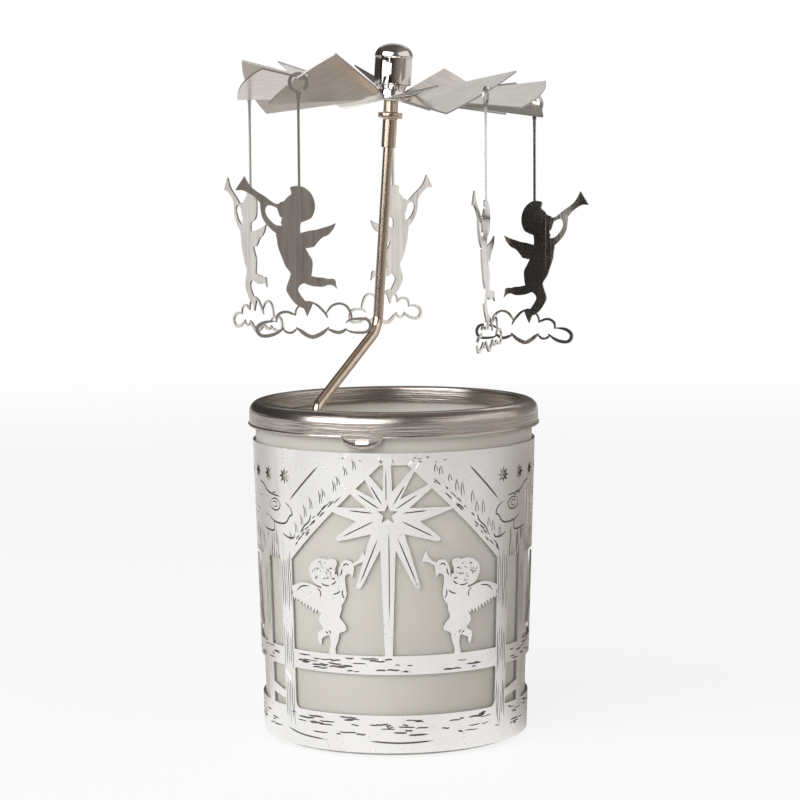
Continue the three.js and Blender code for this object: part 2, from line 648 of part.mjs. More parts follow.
// A closed sheet between two grids of points, at(u, v, side) with side 0 below and 1 above.
function sheetBetween(us, vs, at) {
  const positions = [];
  const id = (i, j, side) => (i * vs.length + j) * 2 + side;
  us.forEach((u) => vs.forEach((v) => [0, 1].forEach((side) => positions.push(...at(u, v, side)))));
  const index = [];
  const quad = (a, b, c, d) => index.push(a, b, c, a, c, d);
  const nu = us.length - 1;
  const nv = vs.length - 1;
  for (let i = 0; i < nu; i++) {
    for (let j = 0; j < nv; j++) {
      quad(id(i, j, 1), id(i + 1, j, 1), id(i + 1, j + 1, 1), id(i, j + 1, 1));
      quad(id(i, j, 0), id(i, j + 1, 0), id(i + 1, j + 1, 0), id(i + 1, j, 0));
    }
    quad(id(i, 0, 0), id(i + 1, 0, 0), id(i + 1, 0, 1), id(i, 0, 1));
    quad(id(i, nv, 1), id(i + 1, nv, 1), id(i + 1, nv, 0), id(i, nv, 0));
  }
  for (let j = 0; j < nv; j++) {
    quad(id(0, j, 1), id(0, j + 1, 1), id(0, j + 1, 0), id(0, j, 0));
    quad(id(nu, j, 0), id(nu, j + 1, 0), id(nu, j + 1, 1), id(nu, j, 1));
  }
  const geometry = new THREE.BufferGeometry();
  geometry.setAttribute('position', new THREE.Float32BufferAttribute(positions, 3));
  geometry.setIndex(index);
  return geometry;
}

function bladeSheet(azimuth) {
  const overlap = 1; // the blade runs into the hub disc
  const radii = [ROTOR_HUB - overlap, ROTOR_HUB, ROTOR_HUB + BLADE_ROOT * 0.33,
    ROTOR_HUB + BLADE_ROOT * 0.67, ROTOR_HUB + BLADE_ROOT, ROTOR_RADIUS];
  const shares = [-1, -0.5, 0, 0.5, 1];
  return sheetBetween(radii, shares, (r, share, side) => {
    const half = Math.PI / BLADE_COUNT - Math.asin(BLADE_SLIT / 2 / r);
    return bladePoint(azimuth, r, share * half, side * ROTOR_SHEET).toArray();
  });
}

const spindleTurn = new THREE.Matrix4().makeRotationY(rad(SPINDLE_LEAN));

// The eye's centre under its blade: its place in the spindle's frame and the direction of its plane.
function eyeSeat(name) {
  const azimuth = PENDANT_AZIMUTHS[name];
  const facing = rad(azimuth - PENDANT_TURNS[name]);
  const along = new THREE.Vector3(Math.sin(facing), -Math.cos(facing), 0);
  const seat = bladePoint(azimuth, ROTOR_RADIUS - EYE_EDGE, 0, ROTOR_SHEET);
  const hole = seat.clone().addScaledVector(along, -EYE_HOLE_STEP);
  const centre = seat.clone().applyMatrix4(spindleTurn);
  centre.z += HUB_HEIGHT + EYE_SEAT - EYE_INNER;
  return { azimuth, facing, hole, centre };
}

function rotorBlades() {
  const disc = turned([[BUSH_BORE + BUSH_WALL + CLEAR, 0], [ROTOR_HUB, 0], [ROTOR_HUB, ROTOR_SHEET],
    [BUSH_BORE + BUSH_WALL + CLEAR, ROTOR_SHEET]], 20);
  const azimuths = Object.keys(BLADES).map(Number);
  let sheet = union([disc, ...azimuths.map(bladeSheet)]);
  for (const name of Object.keys(PENDANT_AZIMUTHS)) {
    const { hole } = eyeSeat(name);
    const drill = new THREE.CylinderGeometry(EYE_HOLE, EYE_HOLE, 8, 16).rotateX(Math.PI / 2)
      .translate(hole.x, hole.y, hole.z);
    sheet = sheet.subtract(toSolid(drill));
  }
  return piece('rotor_blades', toGeometry(sheet), blade);
}

// Angel pendant, cut from one flat sheet. Drawn with its origin at the top of the hair, x towards
// the trumpet's bell, for a figure 33.7 high.

const DRAWN_HEIGHT = 33.7;
const HEAD = [
  [4.6, -4.3], [4.4, -3.6], [3.3, -3.2], [2.6, -2.4], [1.8, -1.8], [2, -0.5], [1.6, -0.1], [0.7, 0],
  [-0.1, 0], [-1.2, -0.4], [-2.4, -1.4], [-3.2, -2.8], [-3.5, -4.3], [-3.3, -5.8], [-2.6, -7.1],
  [-1.3, -7.7], [-0.2, -8.1], [1.2, -8.9], [4, -8.5], [3.9, -7.1], [4.7, -5.7], [5, -4.8],
];
const BODY = [
  [4, -7.6], [1.2, -7.3], [-0.2, -7.6], [-0.2, -10.4], [-0.8, -11.6], [-1.3, -13.7], [-2.1, -15.2],
  [-2.8, -16.5], [-2.8, -18], [-2.5, -19.9], [-1.9, -21.3], [-1, -21.4], [-0.1, -21.8],
  [0.5, -22.7], [0.2, -23.6], [-0.4, -24.5], [-1.1, -25.5], [-1.1, -26.9], [-0.1, -26.8],
  [0.9, -26.1], [2, -24.9], [2.8, -23.6], [3.1, -22.8], [2.9, -21.8], [2.1, -19.4], [2.5, -18.6],
  [3.3, -17.5], [3.8, -16.2], [4.4, -14.7], [4.9, -13.2], [5.3, -10.4], [4.6, -9.2], [4, -8.6],
];
const WING = [
  [-0.1, -10.4], [-2.1, -9.9], [-3.7, -9.7], [-5.2, -9.3], [-6.7, -8.9], [-8.2, -8.3], [-7.6, -9.6],
  [-6.5, -10.8], [-5, -11.5], [-3.9, -12.6], [-3.2, -13.4], [-1.5, -13.7], [-0.1, -13.2],
];
const RAISED_LEG = [
  [-1.3, -20.3], [-2.4, -19.9], [-3.9, -20.2], [-6.4, -20.6], [-7.5, -20.6], [-8, -21.1],
  [-8.1, -21.9], [-8.4, -22.9], [-7.7, -22.2], [-6.5, -21.9], [-5.1, -22.3], [-3.3, -22.2],
  [-2, -21.9], [-0.8, -21.4],
];
const FOOT = [
  [0.2, -26.3], [-1.1, -25.4], [-2.7, -25.8], [-2.3, -27.2], [-1.5, -28.8], [-1.1, -27.7],
  [-0.7, -26.8],
];
const TRUMPET = [
  [4.2, -4.8], [4.6, -3.9], [5.4, -3.8], [6.4, -3.2], [7.7, -2.2], [9.3, -1.2], [10.8, 0],
  [11.8, 1.5], [12.2, 2.3], [14.3, -0.8], [12.7, -0.8], [11.2, -1.5], [9.9, -2.4], [8.9, -3.5],
  [7.9, -4.2], [6.4, -4.2], [5.4, -4.6], [4.7, -5],
];
const ARM = [
  [8.8, -3.5], [8.7, -5], [8.4, -6.6], [7.6, -8.1], [6.4, -9.4], [5.3, -10.3], [3.8, -10.9],
  [3.8, -8.7], [5, -8.6], [5.9, -8.1], [6.9, -7.1], [7.6, -5.8], [7.6, -4.8], [7.2, -4], [8, -3],
];
const CLOUD = [
  [[-2.1, -25.6], [-3.7, -26.3], [-4.7, -27.2], [-5.6, -28.2], [-6.2, -29.3]],
  [[-5.7, -28.4], [-6.8, -26.9], [-8.1, -26.2], [-9.4, -26.2], [-10.7, -27], [-11.5, -28.7],
    [-11.7, -29.7]],
  [[-10.2, -30.5], [-11.2, -29.8], [-13, -29.6], [-14.8, -29.7], [-15.7, -30.5], [-15.8, -31.7],
    [-14.9, -32.6], [-13, -32.7], [-11.2, -32.4], [-10.1, -31.8]],
  [[-10.3, -31.9], [-9.1, -32.5], [-7.8, -32.4], [-5.9, -31.6]],
  [[-6.3, -31.4], [-5.2, -32.4], [-3.9, -33.1], [-2.6, -33.4], [-1.3, -32.9], [-0.1, -32],
    [0.9, -31.3]],
  [[0.8, -31.6], [1.9, -32.3], [3.1, -32.2], [4, -31.5]],
  [[3.7, -31.3], [5.1, -32.2], [6.7, -32.8], [8.5, -32.9], [9.5, -32.3], [9.8, -31.2], [9, -30.3],
    [7.5, -29.8], [5.2, -29.7]],
  [[5.4, -29.9], [5.3, -28.7], [4.4, -27.9], [3.1, -27.7], [1.9, -28.1], [1.1, -28.4]],
  [[1.2, -28.6], [0.9, -27.2], [0.1, -26.4]],
];
const CLOUD_BAND = 0.55;

function pendantSheet() {
  const size = FIGURE_HEIGHT / DRAWN_HEIGHT;
  const drawn = (points) => points.map(([x, y]) => [x * size, y * size - FIGURE_DROP]);
  const ringArc = (r) => arc(0, 0, r, -88, 230, 14);
  const eye = [...ringArc(EYE_OUTER), ...ringArc(EYE_INNER).reverse()];
  const half = STEM_WIDTH / 2;
  const stemTop = -(EYE_INNER + EYE_OUTER) / 2;
  const stem = [[-half, -FIGURE_DROP - 1], [half, -FIGURE_DROP - 1], [half, stemTop], [-half, stemTop]];
  const outlines = [
    eye, stem, ...[HEAD, BODY, WING, RAISED_LEG, FOOT, TRUMPET, ARM].map(drawn),
    ...CLOUD.map((points) => band(drawn(points), CLOUD_BAND, CLOUD_BAND, 1)),
  ];
  return toGeometry(union(outlines.map((points) => plate(points, PENDANT_SHEET))))
    .translate(0, 0, -PENDANT_SHEET / 2);
}

// Stands the drawing upright and turns it so that the trumpet points along its facing.
function angelPendant(name, sheet) {
  const { facing, centre } = eyeSeat(name);
  const hanger = new THREE.Group();
  hanger.position.copy(centre);
  hanger.rotation.z = facing - Math.PI / 2;
  const angel = piece(`angel_${name}`, sheet, silver);
  angel.rotation.x = Math.PI / 2;
  hanger.add(angel);
  return hanger;
}

// Tealight: foil cup, wax, wick, and the sustainer that holds the wick on the cup's floor

const cupFloor = GLASS_FLOOR + CLEAR;
const tabBottom = cupFloor + CANDLE_FOIL + CLEAR;
const waxBottom = tabBottom + TAB_DISC_SHEET + CLEAR;
const wickRoom = WICK_RADIUS + CLEAR;
const tubeOuter = wickRoom + 0.5;

function tealightCup() {
  const inner = CANDLE_RADIUS - CANDLE_FOIL;
  const top = cupFloor + CANDLE_CUP_HEIGHT;
  const lip = 0.4; // the foil's rolled edge
  return piece('tealight_cup', turned([
    [0, cupFloor], [CANDLE_RADIUS - 1, cupFloor], [CANDLE_RADIUS, cupFloor + 1],
    [CANDLE_RADIUS, top - 0.8], [CANDLE_RADIUS + lip, top - 0.5], [CANDLE_RADIUS + lip, top],
    [inner, top], [inner, cupFloor + CANDLE_FOIL], [0, cupFloor + CANDLE_FOIL],
  ], 40), foil);
}

function tealightWax() {
  const radius = CANDLE_RADIUS - CANDLE_FOIL - CLEAR;
  const sleeveTop = tabBottom + TAB_DISC_SHEET + TAB_TUBE_HEIGHT + CLEAR;
  return piece('tealight_wax', turned([
    [tubeOuter + CLEAR, waxBottom], [radius, waxBottom], [radius, waxBottom + WAX_HEIGHT],
    [wickRoom, waxBottom + WAX_HEIGHT], [wickRoom, sleeveTop], [tubeOuter + CLEAR, sleeveTop],
  ], 40), wax);
}

function wickSustainer() {
  const disc = tabBottom + TAB_DISC_SHEET;
  return piece('wick_sustainer', turned([
    [wickRoom, tabBottom], [TAB_DISC_RADIUS, tabBottom], [TAB_DISC_RADIUS, disc], [tubeOuter, disc],
    [tubeOuter, disc + TAB_TUBE_HEIGHT], [wickRoom, disc + TAB_TUBE_HEIGHT],
  ], 20), foil);
}

function tealightWick() {
  const top = tabBottom + WICK_HEIGHT;
  return piece('tealight_wick', turned([
    [0, tabBottom], [WICK_RADIUS, tabBottom], [WICK_RADIUS, top - 0.4], [0, top],
  ], 12), cotton);
}

// Assembly

const lantern = new THREE.Group();
const spindle = new THREE.Group();
spindle.position.z = HUB_HEIGHT;
spindle.rotation.y = rad(SPINDLE_LEAN);
spindle.add(bearingSocket(), pivotNeedle(), hubBush(), hubCap(), bearingCup(), rotorBlades());

const angelSheet = pendantSheet();
const angels = Object.keys(PENDANT_AZIMUTHS).map((name) => angelPendant(name, angelSheet));

lantern.add(
  glassTumbler(), pictureSleeve(), rimRing(), supportRod(), rodWeld(), spindle, ...angels,
  tealightCup(), tealightWax(), wickSustainer(), tealightWick());

export default lantern;
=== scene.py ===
# %% [markdown]
# Angel lantern. A tealight stands in a frosted glass with a pierced silver sleeve. A ring on the
# glass's mouth carries a bent rod. On its tip turns a rotor of ten blades with five flat angels.
# This lesson dresses the lantern's construction model: every piece is worked out with numpy as a
# surface of two parameters, or as a flat sheet that is cut out and then bent to its place.

# %% Load the construction model
import json
import math

import bmesh
import bpy
import numpy as np
from mathutils import Matrix, Vector
from mathutils.geometry import delaunay_2d_cdt


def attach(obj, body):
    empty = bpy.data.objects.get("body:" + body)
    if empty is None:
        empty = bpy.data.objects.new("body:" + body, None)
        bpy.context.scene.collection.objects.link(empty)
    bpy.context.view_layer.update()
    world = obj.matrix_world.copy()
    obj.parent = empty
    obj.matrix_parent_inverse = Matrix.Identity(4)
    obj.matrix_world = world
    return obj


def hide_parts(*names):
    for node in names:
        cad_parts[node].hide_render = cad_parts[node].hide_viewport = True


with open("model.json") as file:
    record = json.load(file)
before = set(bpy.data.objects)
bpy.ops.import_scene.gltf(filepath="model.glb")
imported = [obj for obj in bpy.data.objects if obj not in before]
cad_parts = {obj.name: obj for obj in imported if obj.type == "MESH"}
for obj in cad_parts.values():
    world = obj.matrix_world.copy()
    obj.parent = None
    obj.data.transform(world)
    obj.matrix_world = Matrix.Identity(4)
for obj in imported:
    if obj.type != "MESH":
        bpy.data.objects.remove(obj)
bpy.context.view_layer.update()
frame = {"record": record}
bpy.context.scene.view_settings.view_transform = "Standard"
MM = 0.001

# %% [markdown]
# The camera comes first. The lantern was seen from about the rotor's height and two thirds of a
# metre away, so the rotor shows edge-on and the glass from a little above. A long lens from that
# distance keeps the upright edges nearly parallel.

# %% Camera
CAMERA_DISTANCE = 0.6243
CAMERA_HEIGHT = 0.1402
AIM = Vector((0.0015, 0, 0.07745))
LENS_MM = 121.45
CAMERA_ROLL = math.radians(-0.4)


def add_camera():
    """Puts the camera in front of the lantern, aims it and rolls it about its own line of sight."""
    data = bpy.data.cameras.new("camera")
    data.lens = LENS_MM
    data.sensor_width = 36
    data.clip_start = 0.01
    camera = bpy.data.objects.new("camera", data)
    bpy.context.scene.collection.objects.link(camera)
    place = Vector((AIM.x, -CAMERA_DISTANCE, CAMERA_HEIGHT))
    look = (AIM - place).to_track_quat("-Z", "Y").to_matrix().to_4x4()
    camera.matrix_world = Matrix.Translation(place) @ look @ Matrix.Rotation(CAMERA_ROLL, 4, "Z")
    bpy.context.scene.camera = camera
    return camera


camera = add_camera()
print("camera at", tuple(round(v, 3) for v in camera.matrix_world.translation))

# %% [markdown]
# Two kinds of helper serve every later step. A mesh is made from whole arrays of points and faces.
# A shader node is made in one call, with the values or the other nodes that feed it.

# %% Mesh and node helpers
def mesh_object(name, points, faces):
    """A linked object from arrays of points (metres) and of faces with equal corner counts."""
    mesh = bpy.data.meshes.new(name)
    mesh.from_pydata(points.tolist(), [], faces.tolist())
    mesh.polygons.foreach_set("use_smooth", np.ones(len(mesh.polygons), bool))
    mesh.update()
    piece = bpy.data.objects.new(name, mesh)
    bpy.context.scene.collection.objects.link(piece)
    return piece


def grid_object(name, points, closed_u=False):
    """A mesh on a grid of points[u, v], joined to its start along v, and along u if closed."""
    nu, nv = points.shape[:2]
    ids = np.arange(nu * nv).reshape(nu, nv)
    if closed_u:
        ids = np.concatenate([ids, ids[:1]], 0)
    ids = np.concatenate([ids, ids[:, :1]], 1)
    quads = np.stack([ids[:-1, :-1], ids[1:, :-1], ids[1:, 1:], ids[:-1, 1:]], -1)
    return mesh_object(name, points.reshape(-1, 3), quads.reshape(-1, 4))


def around(a, r, z):
    """Points at an angle from +X, a radius and a height, of numbers or of arrays."""
    return np.stack(np.broadcast_arrays(r * np.cos(a), r * np.sin(a), z), -1)


def tidy_mesh(piece, distance=1e-6, sharp=35):
    """Merges doubled points, points the faces outwards and marks edges sharper than an angle."""
    work = bmesh.new()
    work.from_mesh(piece.data)
    bmesh.ops.remove_doubles(work, verts=work.verts, dist=distance)
    bmesh.ops.recalc_face_normals(work, faces=work.faces)
    for edge in work.edges:
        edge.smooth = len(edge.link_faces) < 2 or edge.calc_face_angle(0) < math.radians(sharp)
    work.to_mesh(piece.data)
    work.free()
    piece.data.update()


def feed(tree, node, inputs):
    """Gives each named input a value or a link. A node stands for its own first output."""
    for place, value in inputs.items():
        if isinstance(value, bpy.types.Node):
            value = value.outputs[0]
        if isinstance(value, bpy.types.NodeSocket):
            tree.links.new(value, node.inputs[place])
        else:
            node.inputs[place].default_value = value


def add_node(tree, kind, inputs=None, **settings):
    """A new node of one kind with its settings made and its inputs fed."""
    node = tree.nodes.new("ShaderNode" + kind)
    for name, value in settings.items():
        setattr(node, name, value)
    feed(tree, node, inputs or {})
    return node


def math_node(tree, operation, *values):
    """The first two values worked together, and the result with each further value."""
    result = values[0]
    for value in values[1:]:
        result = add_node(tree, "Math", {0: result, 1: value}, operation=operation)
    return result


def ramp_between(tree, value, start, end, low, high):
    """A smooth step of a value from low at start to high at end."""
    return add_node(tree, "MapRange", {
        "Value": value, "From Min": start, "From Max": end, "To Min": low, "To Max": high},
        interpolation_type="SMOOTHSTEP")


# %% [markdown]
# Polished metal shows its surroundings, so the light is built as surroundings: a white table that
# runs far behind the lantern, a dim brown room above it, and darkness in front, where the flat
# angels that face forward find their black. Large soft panels stand in for the windows. The table
# near the lantern is a disc that fades into the background, and it keeps the lantern's shadow.

# %% Table, background and lamps
PANELS = (
    # name, azimuth, elevation, distance, width, height, watts
    ("key_left", -40, 28, 0.95, 1.15, 0.75, 11.5),
    ("fill_right", 74, 28, 0.95, 1.5, 0.75, 2.6),
    ("top_rear", 178, 33, 1.1, 0.8, 0.3, 0.5),
)
LAMPS_FACE = Vector((0, 0, 0.08))  # the place at which all panels point
# Every ramp below has four numbers: where it starts and ends, and its value at either end.
ROOM_BEHIND, ROOM_LEVEL = (-0.22, 0.04, 0, 1), 0.06
ROOM_ABOVE = (0.35, 0.75, 0, 0.12)
ROOM_RIGHT = (-0.35, 0.9, 0.012, 0.34)
ROOM_TINT = {"Red": 1, "Green": 0.93, "Blue": 0.86}
FAR_TABLE, FAR_TABLE_LEVEL = (-0.01, 0.03, 1, 0), 0.75
FAR_TABLE_LIGHT = 0.8  # share of that level which lights matt surfaces
TABLE_RADIUS, TABLE_HEIGHT = 1.1, -0.0002
TABLE_FADE = (0.4, 1.05, 0, 1)
TABLE_GREY, WHITE = (0.9, 0.9, 0.9, 1), (1, 1, 1, 1)
TABLE_WASH = 0.85  # share of plain white that the camera sees over the table's own shade
MIRRORED_WASH = (-0.1, 0.3, 0.95, 0.35)  # how much of that share metal shows, less to the right
# Painted shade: metal finds a dim brown glow towards the table's rear corners, right then left,
# by (Y + X) / distance and (Y - X) / distance; only metal sees it, in its reflections.
MIRRORED_PAINTED_SHADE = (0.18, 0.14, 0.10, 1)
PAINTED_SHADE_CORNERS = {"ADD": (0.55, 1.5, 0, 0.75), "SUBTRACT": (1.15, 1.45, 0, 0.5)}


def seen_rays(tree, mirrored):
    """1 for rays from the camera, and a given share for rays by way of metal or glass."""
    ray = add_node(tree, "LightPath").outputs
    bent = math_node(tree, "MAXIMUM", ray["Is Glossy Ray"], ray["Is Transmission Ray"])
    share = math_node(tree, "MULTIPLY", bent, mirrored)
    return math_node(tree, "MAXIMUM", ray["Is Camera Ray"], share)


def add_world():
    """The room by direction. Behind and below the horizon the table's far part is white; above it
    the room is a dim warm brown, and in front it is near black."""
    world = bpy.data.worlds.new("room")
    bpy.context.scene.world = world
    world.use_nodes = True
    tree = world.node_tree
    tree.nodes.clear()
    where = add_node(tree, "TexCoord").outputs["Generated"]
    toward = add_node(tree, "SeparateXYZ", {"Vector": where}).outputs
    behind = ramp_between(tree, toward["Y"], *ROOM_BEHIND)
    low = ramp_between(tree, toward["Z"], *FAR_TABLE)
    room = math_node(
        tree, "MAXIMUM", math_node(tree, "MULTIPLY", behind, ROOM_LEVEL),
        ramp_between(tree, toward["Z"], *ROOM_ABOVE), ramp_between(tree, toward["X"], *ROOM_RIGHT))
    tinted = {name: math_node(tree, "MULTIPLY", room, tint) for name, tint in ROOM_TINT.items()}
    white = math_node(tree, "MULTIPLY", behind, low, FAR_TABLE_LEVEL)
    seen, matt = seen_rays(tree, white), math_node(tree, "MULTIPLY", white, FAR_TABLE_LIGHT)
    share = math_node(tree, "MAXIMUM", seen, matt)
    colour = add_node(tree, "MixRGB", {
        "Fac": share, "Color1": add_node(tree, "CombineColor", tinted), "Color2": WHITE})
    add_node(tree, "OutputWorld", {"Surface": add_node(tree, "Background", {"Color": colour})})


def add_panel(name, azimuth, elevation, distance, width, height, watts):
    """A soft rectangular lamp at an azimuth from the front, turned to face the lantern."""
    a, e = math.radians(azimuth), math.radians(elevation)
    away = Vector((math.sin(a) * math.cos(e), -math.cos(a) * math.cos(e), math.sin(e)))
    data = bpy.data.lights.new(name, "AREA")
    data.shape = "RECTANGLE"
    data.size, data.size_y = width, height
    data.energy = watts
    lamp = bpy.data.objects.new(name, data)
    turn = (-away).to_track_quat("-Z", "Y").to_matrix().to_4x4()
    lamp.matrix_world = Matrix.Translation(LAMPS_FACE + away * distance) @ turn
    bpy.context.scene.collection.objects.link(lamp)


def table_material():
    """Diffuse white, then three layers over it, each by its own share: plain white as the camera
    sees it, a dim brown glow of painted shade where metal mirrors the rear corners, and nothing
    where the disc fades."""
    material = bpy.data.materials.new("table_white")
    material.use_nodes = True
    tree = material.node_tree
    tree.nodes.clear()
    where = add_node(tree, "TexCoord").outputs["Object"]
    away = add_node(tree, "VectorMath", {0: where}, operation="LENGTH").outputs["Value"]
    place = add_node(tree, "SeparateXYZ", {"Vector": where}).outputs
    corners = []
    for sign, ramp in PAINTED_SHADE_CORNERS.items():
        along = math_node(tree, "DIVIDE", math_node(tree, sign, place["Y"], place["X"]), away)
        corners.append(ramp_between(tree, along, *ramp))
    by_metal = add_node(tree, "LightPath").outputs["Is Glossy Ray"]
    wash = seen_rays(tree, ramp_between(tree, place["X"], *MIRRORED_WASH))
    shader = add_node(tree, "BsdfDiffuse", {"Color": TABLE_GREY})
    for share, over in (
            (math_node(tree, "MULTIPLY", wash, TABLE_WASH), add_node(tree, "Emission")),
            # painted shade: a dim brown glow that only metal sees, towards the rear corners
            (math_node(tree, "MULTIPLY", by_metal, math_node(tree, "MAXIMUM", *corners)),
             add_node(tree, "Emission", {"Color": MIRRORED_PAINTED_SHADE})),
            (ramp_between(tree, away, *TABLE_FADE), add_node(tree, "BsdfTransparent"))):
        shader = add_node(tree, "MixShader", {0: share, 1: shader, 2: over})
    add_node(tree, "OutputMaterial", {"Surface": shader})
    return material


def add_table():
    """A flat disc of rings, r from 0 to its radius, level with the lantern's underside."""
    r = np.linspace(0, TABLE_RADIUS, 12)[:, None]
    a = np.linspace(0, 2 * math.pi, 64, endpoint=False)
    table = grid_object("table", around(a, r, TABLE_HEIGHT))
    table.data.materials.append(table_material())


add_world()
for panel in PANELS:
    add_panel(*panel)
add_table()
print("lamps", [panel[0] for panel in PANELS])

# %% [markdown]
# Finishes. The metals share three effects: a fine grain along the polishing direction, soft smudges
# that vary the gloss, and small pits from etching. Each is a node group, so that a change in one
# place reaches every metal that uses it. The groups give only masks and heights; the shader itself
# stays in each material.

# %% Node groups
def new_group(name, inputs, output):
    """A group with numbers for inputs and one number for output. Returns it with the sockets of its
    inputs and of the Object coordinates."""
    group = bpy.data.node_groups.new(name, "ShaderNodeTree")
    for label, value in inputs.items():
        socket = group.interface.new_socket(label, in_out="INPUT", socket_type="NodeSocketFloat")
        socket.default_value = value
    group.interface.new_socket(output, in_out="OUTPUT", socket_type="NodeSocketFloat")
    where = add_node(group, "TexCoord").outputs["Object"]
    return group, group.nodes.new("NodeGroupInput").outputs, where


def end_group(group, result):
    """Sends a node's first output out of its group."""
    feed(group, group.nodes.new("NodeGroupOutput"), {0: result})
    return group


def grain_group():
    """Fine lines: noise on Object coordinates squeezed along X, Y or Z by three scales."""
    group, given, where = new_group(
        "brushed_grain", {"Scale X": 200, "Scale Y": 200, "Scale Z": 200}, "Lines")
    scales = add_node(group, "CombineXYZ", {axis: given["Scale " + axis] for axis in "XYZ"})
    stretched = add_node(group, "VectorMath", {0: where, 1: scales}, operation="MULTIPLY")
    return end_group(group, add_node(
        group, "TexNoise", {"Vector": stretched, "Scale": 1, "Detail": 4}))


def smudge_group():
    """Soft clouds for gloss and tone: low noise, stretched to a wide contrast."""
    group, given, where = new_group("smudges", {"Scale": 60, "Contrast": 0.5}, "Cloud")
    noise = add_node(group, "TexNoise", {"Vector": where, "Scale": given["Scale"], "Detail": 3})
    wide = math_node(group, "DIVIDE", math_node(group, "SUBTRACT", noise, 0.5), given["Contrast"])
    return end_group(group, add_node(group, "Clamp", {"Value": math_node(group, "ADD", wide, 0.5)}))


def pit_group():
    """Small pits: the hollows of a cell pattern, kept only where a second noise is high."""
    group, given, where = new_group("etch_pits", {"Scale": 900, "Amount": 0.5}, "Pits")
    cells = add_node(group, "TexVoronoi", {"Vector": where, "Scale": given["Scale"]})
    patches = add_node(group, "TexNoise", {"Vector": where, "Scale": 300})
    hollow = math_node(group, "LESS_THAN", cells, 0.28)
    most = math_node(group, "SUBTRACT", 1, given["Amount"])
    kept = math_node(group, "GREATER_THAN", patches, most)
    return end_group(group, math_node(group, "MULTIPLY", hollow, kept))


GRAIN, SMUDGES, PITS = grain_group(), smudge_group(), pit_group()
print("groups", GRAIN.name, SMUDGES.name, PITS.name)


# %% Materials
def new_material(name):
    """A material that shades with its one Principled node."""
    material = bpy.data.materials.new(name)
    material.use_nodes = True
    return material, material.node_tree


def use_group(tree, group, **values):
    """A node that runs a group; an underscore in a keyword stands for a space."""
    return add_node(tree, "Group", {
        label.replace("_", " "): value for label, value in values.items()}, node_tree=group)


def mix_colour(tree, mask, tone, dull):
    """From tone at 0 to dull at 1. Inputs 6 and 7 and output 2 are this node's colours."""
    return add_node(
        tree, "Mix", {0: mask, 6: (*tone, 1), 7: (*dull, 1)}, data_type="RGBA").outputs[2]


def dress(tree, mask, tones, rough_mask, rough, height, bump, depth=0.0002, **others):
    """Feeds the shader: a mask mixes two tones, a second one the roughness, and a height bumps."""
    low, high = rough
    others = {label.replace("_", " "): value for label, value in others.items()}
    feed(tree, tree.nodes["Principled BSDF"], {
        "Base Color": mix_colour(tree, mask, *tones),
        "Roughness": add_node(
            tree, "MapRange", {"Value": rough_mask, "To Min": low, "To Max": high}),
        "Normal": add_node(tree, "Bump", {"Strength": bump, "Distance": depth, "Height": height}),
        **others})


def polished_metal(name, tones, rough, grain, bump=0.05, cloud_scale=60, streak=1.5):
    """A metal whose tone and gloss drift between two values, with fine lines in its height."""
    material, tree = new_material(name)
    cloud = use_group(tree, SMUDGES, Scale=cloud_scale, Contrast=0.45)
    lines = use_group(tree, GRAIN, Scale_X=grain[0], Scale_Y=grain[1], Scale_Z=grain[2])
    streaks = math_node(tree, "MULTIPLY", math_node(tree, "SUBTRACT", lines, 0.5), streak)
    tone = math_node(tree, "ADD", math_node(tree, "MULTIPLY", cloud, 0.6), streaks)
    gloss = math_node(tree, "MULTIPLY", math_node(tree, "ADD", lines, cloud), 0.5)
    mask = add_node(tree, "Clamp", {"Value": tone})
    dress(tree, mask, tones, gloss, rough, lines, bump, Metallic=1)
    return material


def etched_metal(name, tones, rough, pit_scale, pit_amount, bump):
    """Sheet with a matt etched skin: pits darken it, roughen it and sink into its height."""
    material, tree = new_material(name)
    pits = use_group(tree, PITS, Scale=pit_scale, Amount=pit_amount)
    cloud = use_group(tree, SMUDGES, Scale=45, Contrast=0.4)
    mask = math_node(tree, "MAXIMUM", pits, math_node(tree, "MULTIPLY", cloud, 0.45))
    height = math_node(tree, "SUBTRACT", 1, pits)
    dress(tree, mask, tones, mask, rough, height, bump, 0.0001, Metallic=1)
    return material


def frosted_glass(name):
    """Acid-matt glass: light passes and spreads, and the skin has a fine even tooth."""
    material, tree = new_material(name)
    cloud = use_group(tree, SMUDGES, Scale=30, Contrast=0.6)
    tooth = use_group(tree, GRAIN, Scale_X=2500, Scale_Y=2500, Scale_Z=2500)
    dress(tree, cloud, ((0.89, 0.865, 0.81), (0.80, 0.77, 0.70)), tooth, (0.45, 0.65), tooth, 0.12,
          0.0001, Transmission_Weight=0.5, IOR=1.48)
    return material


def soft_matter(name, tones, rough, scale, bump):
    """Wax or cotton: a mottled tone and a soft uneven height."""
    material, tree = new_material(name)
    cloud = use_group(tree, SMUDGES, Scale=scale, Contrast=0.6)
    dress(tree, cloud, tones, cloud, (rough - 0.1, rough + 0.1), cloud, bump, 0.0004)
    return material


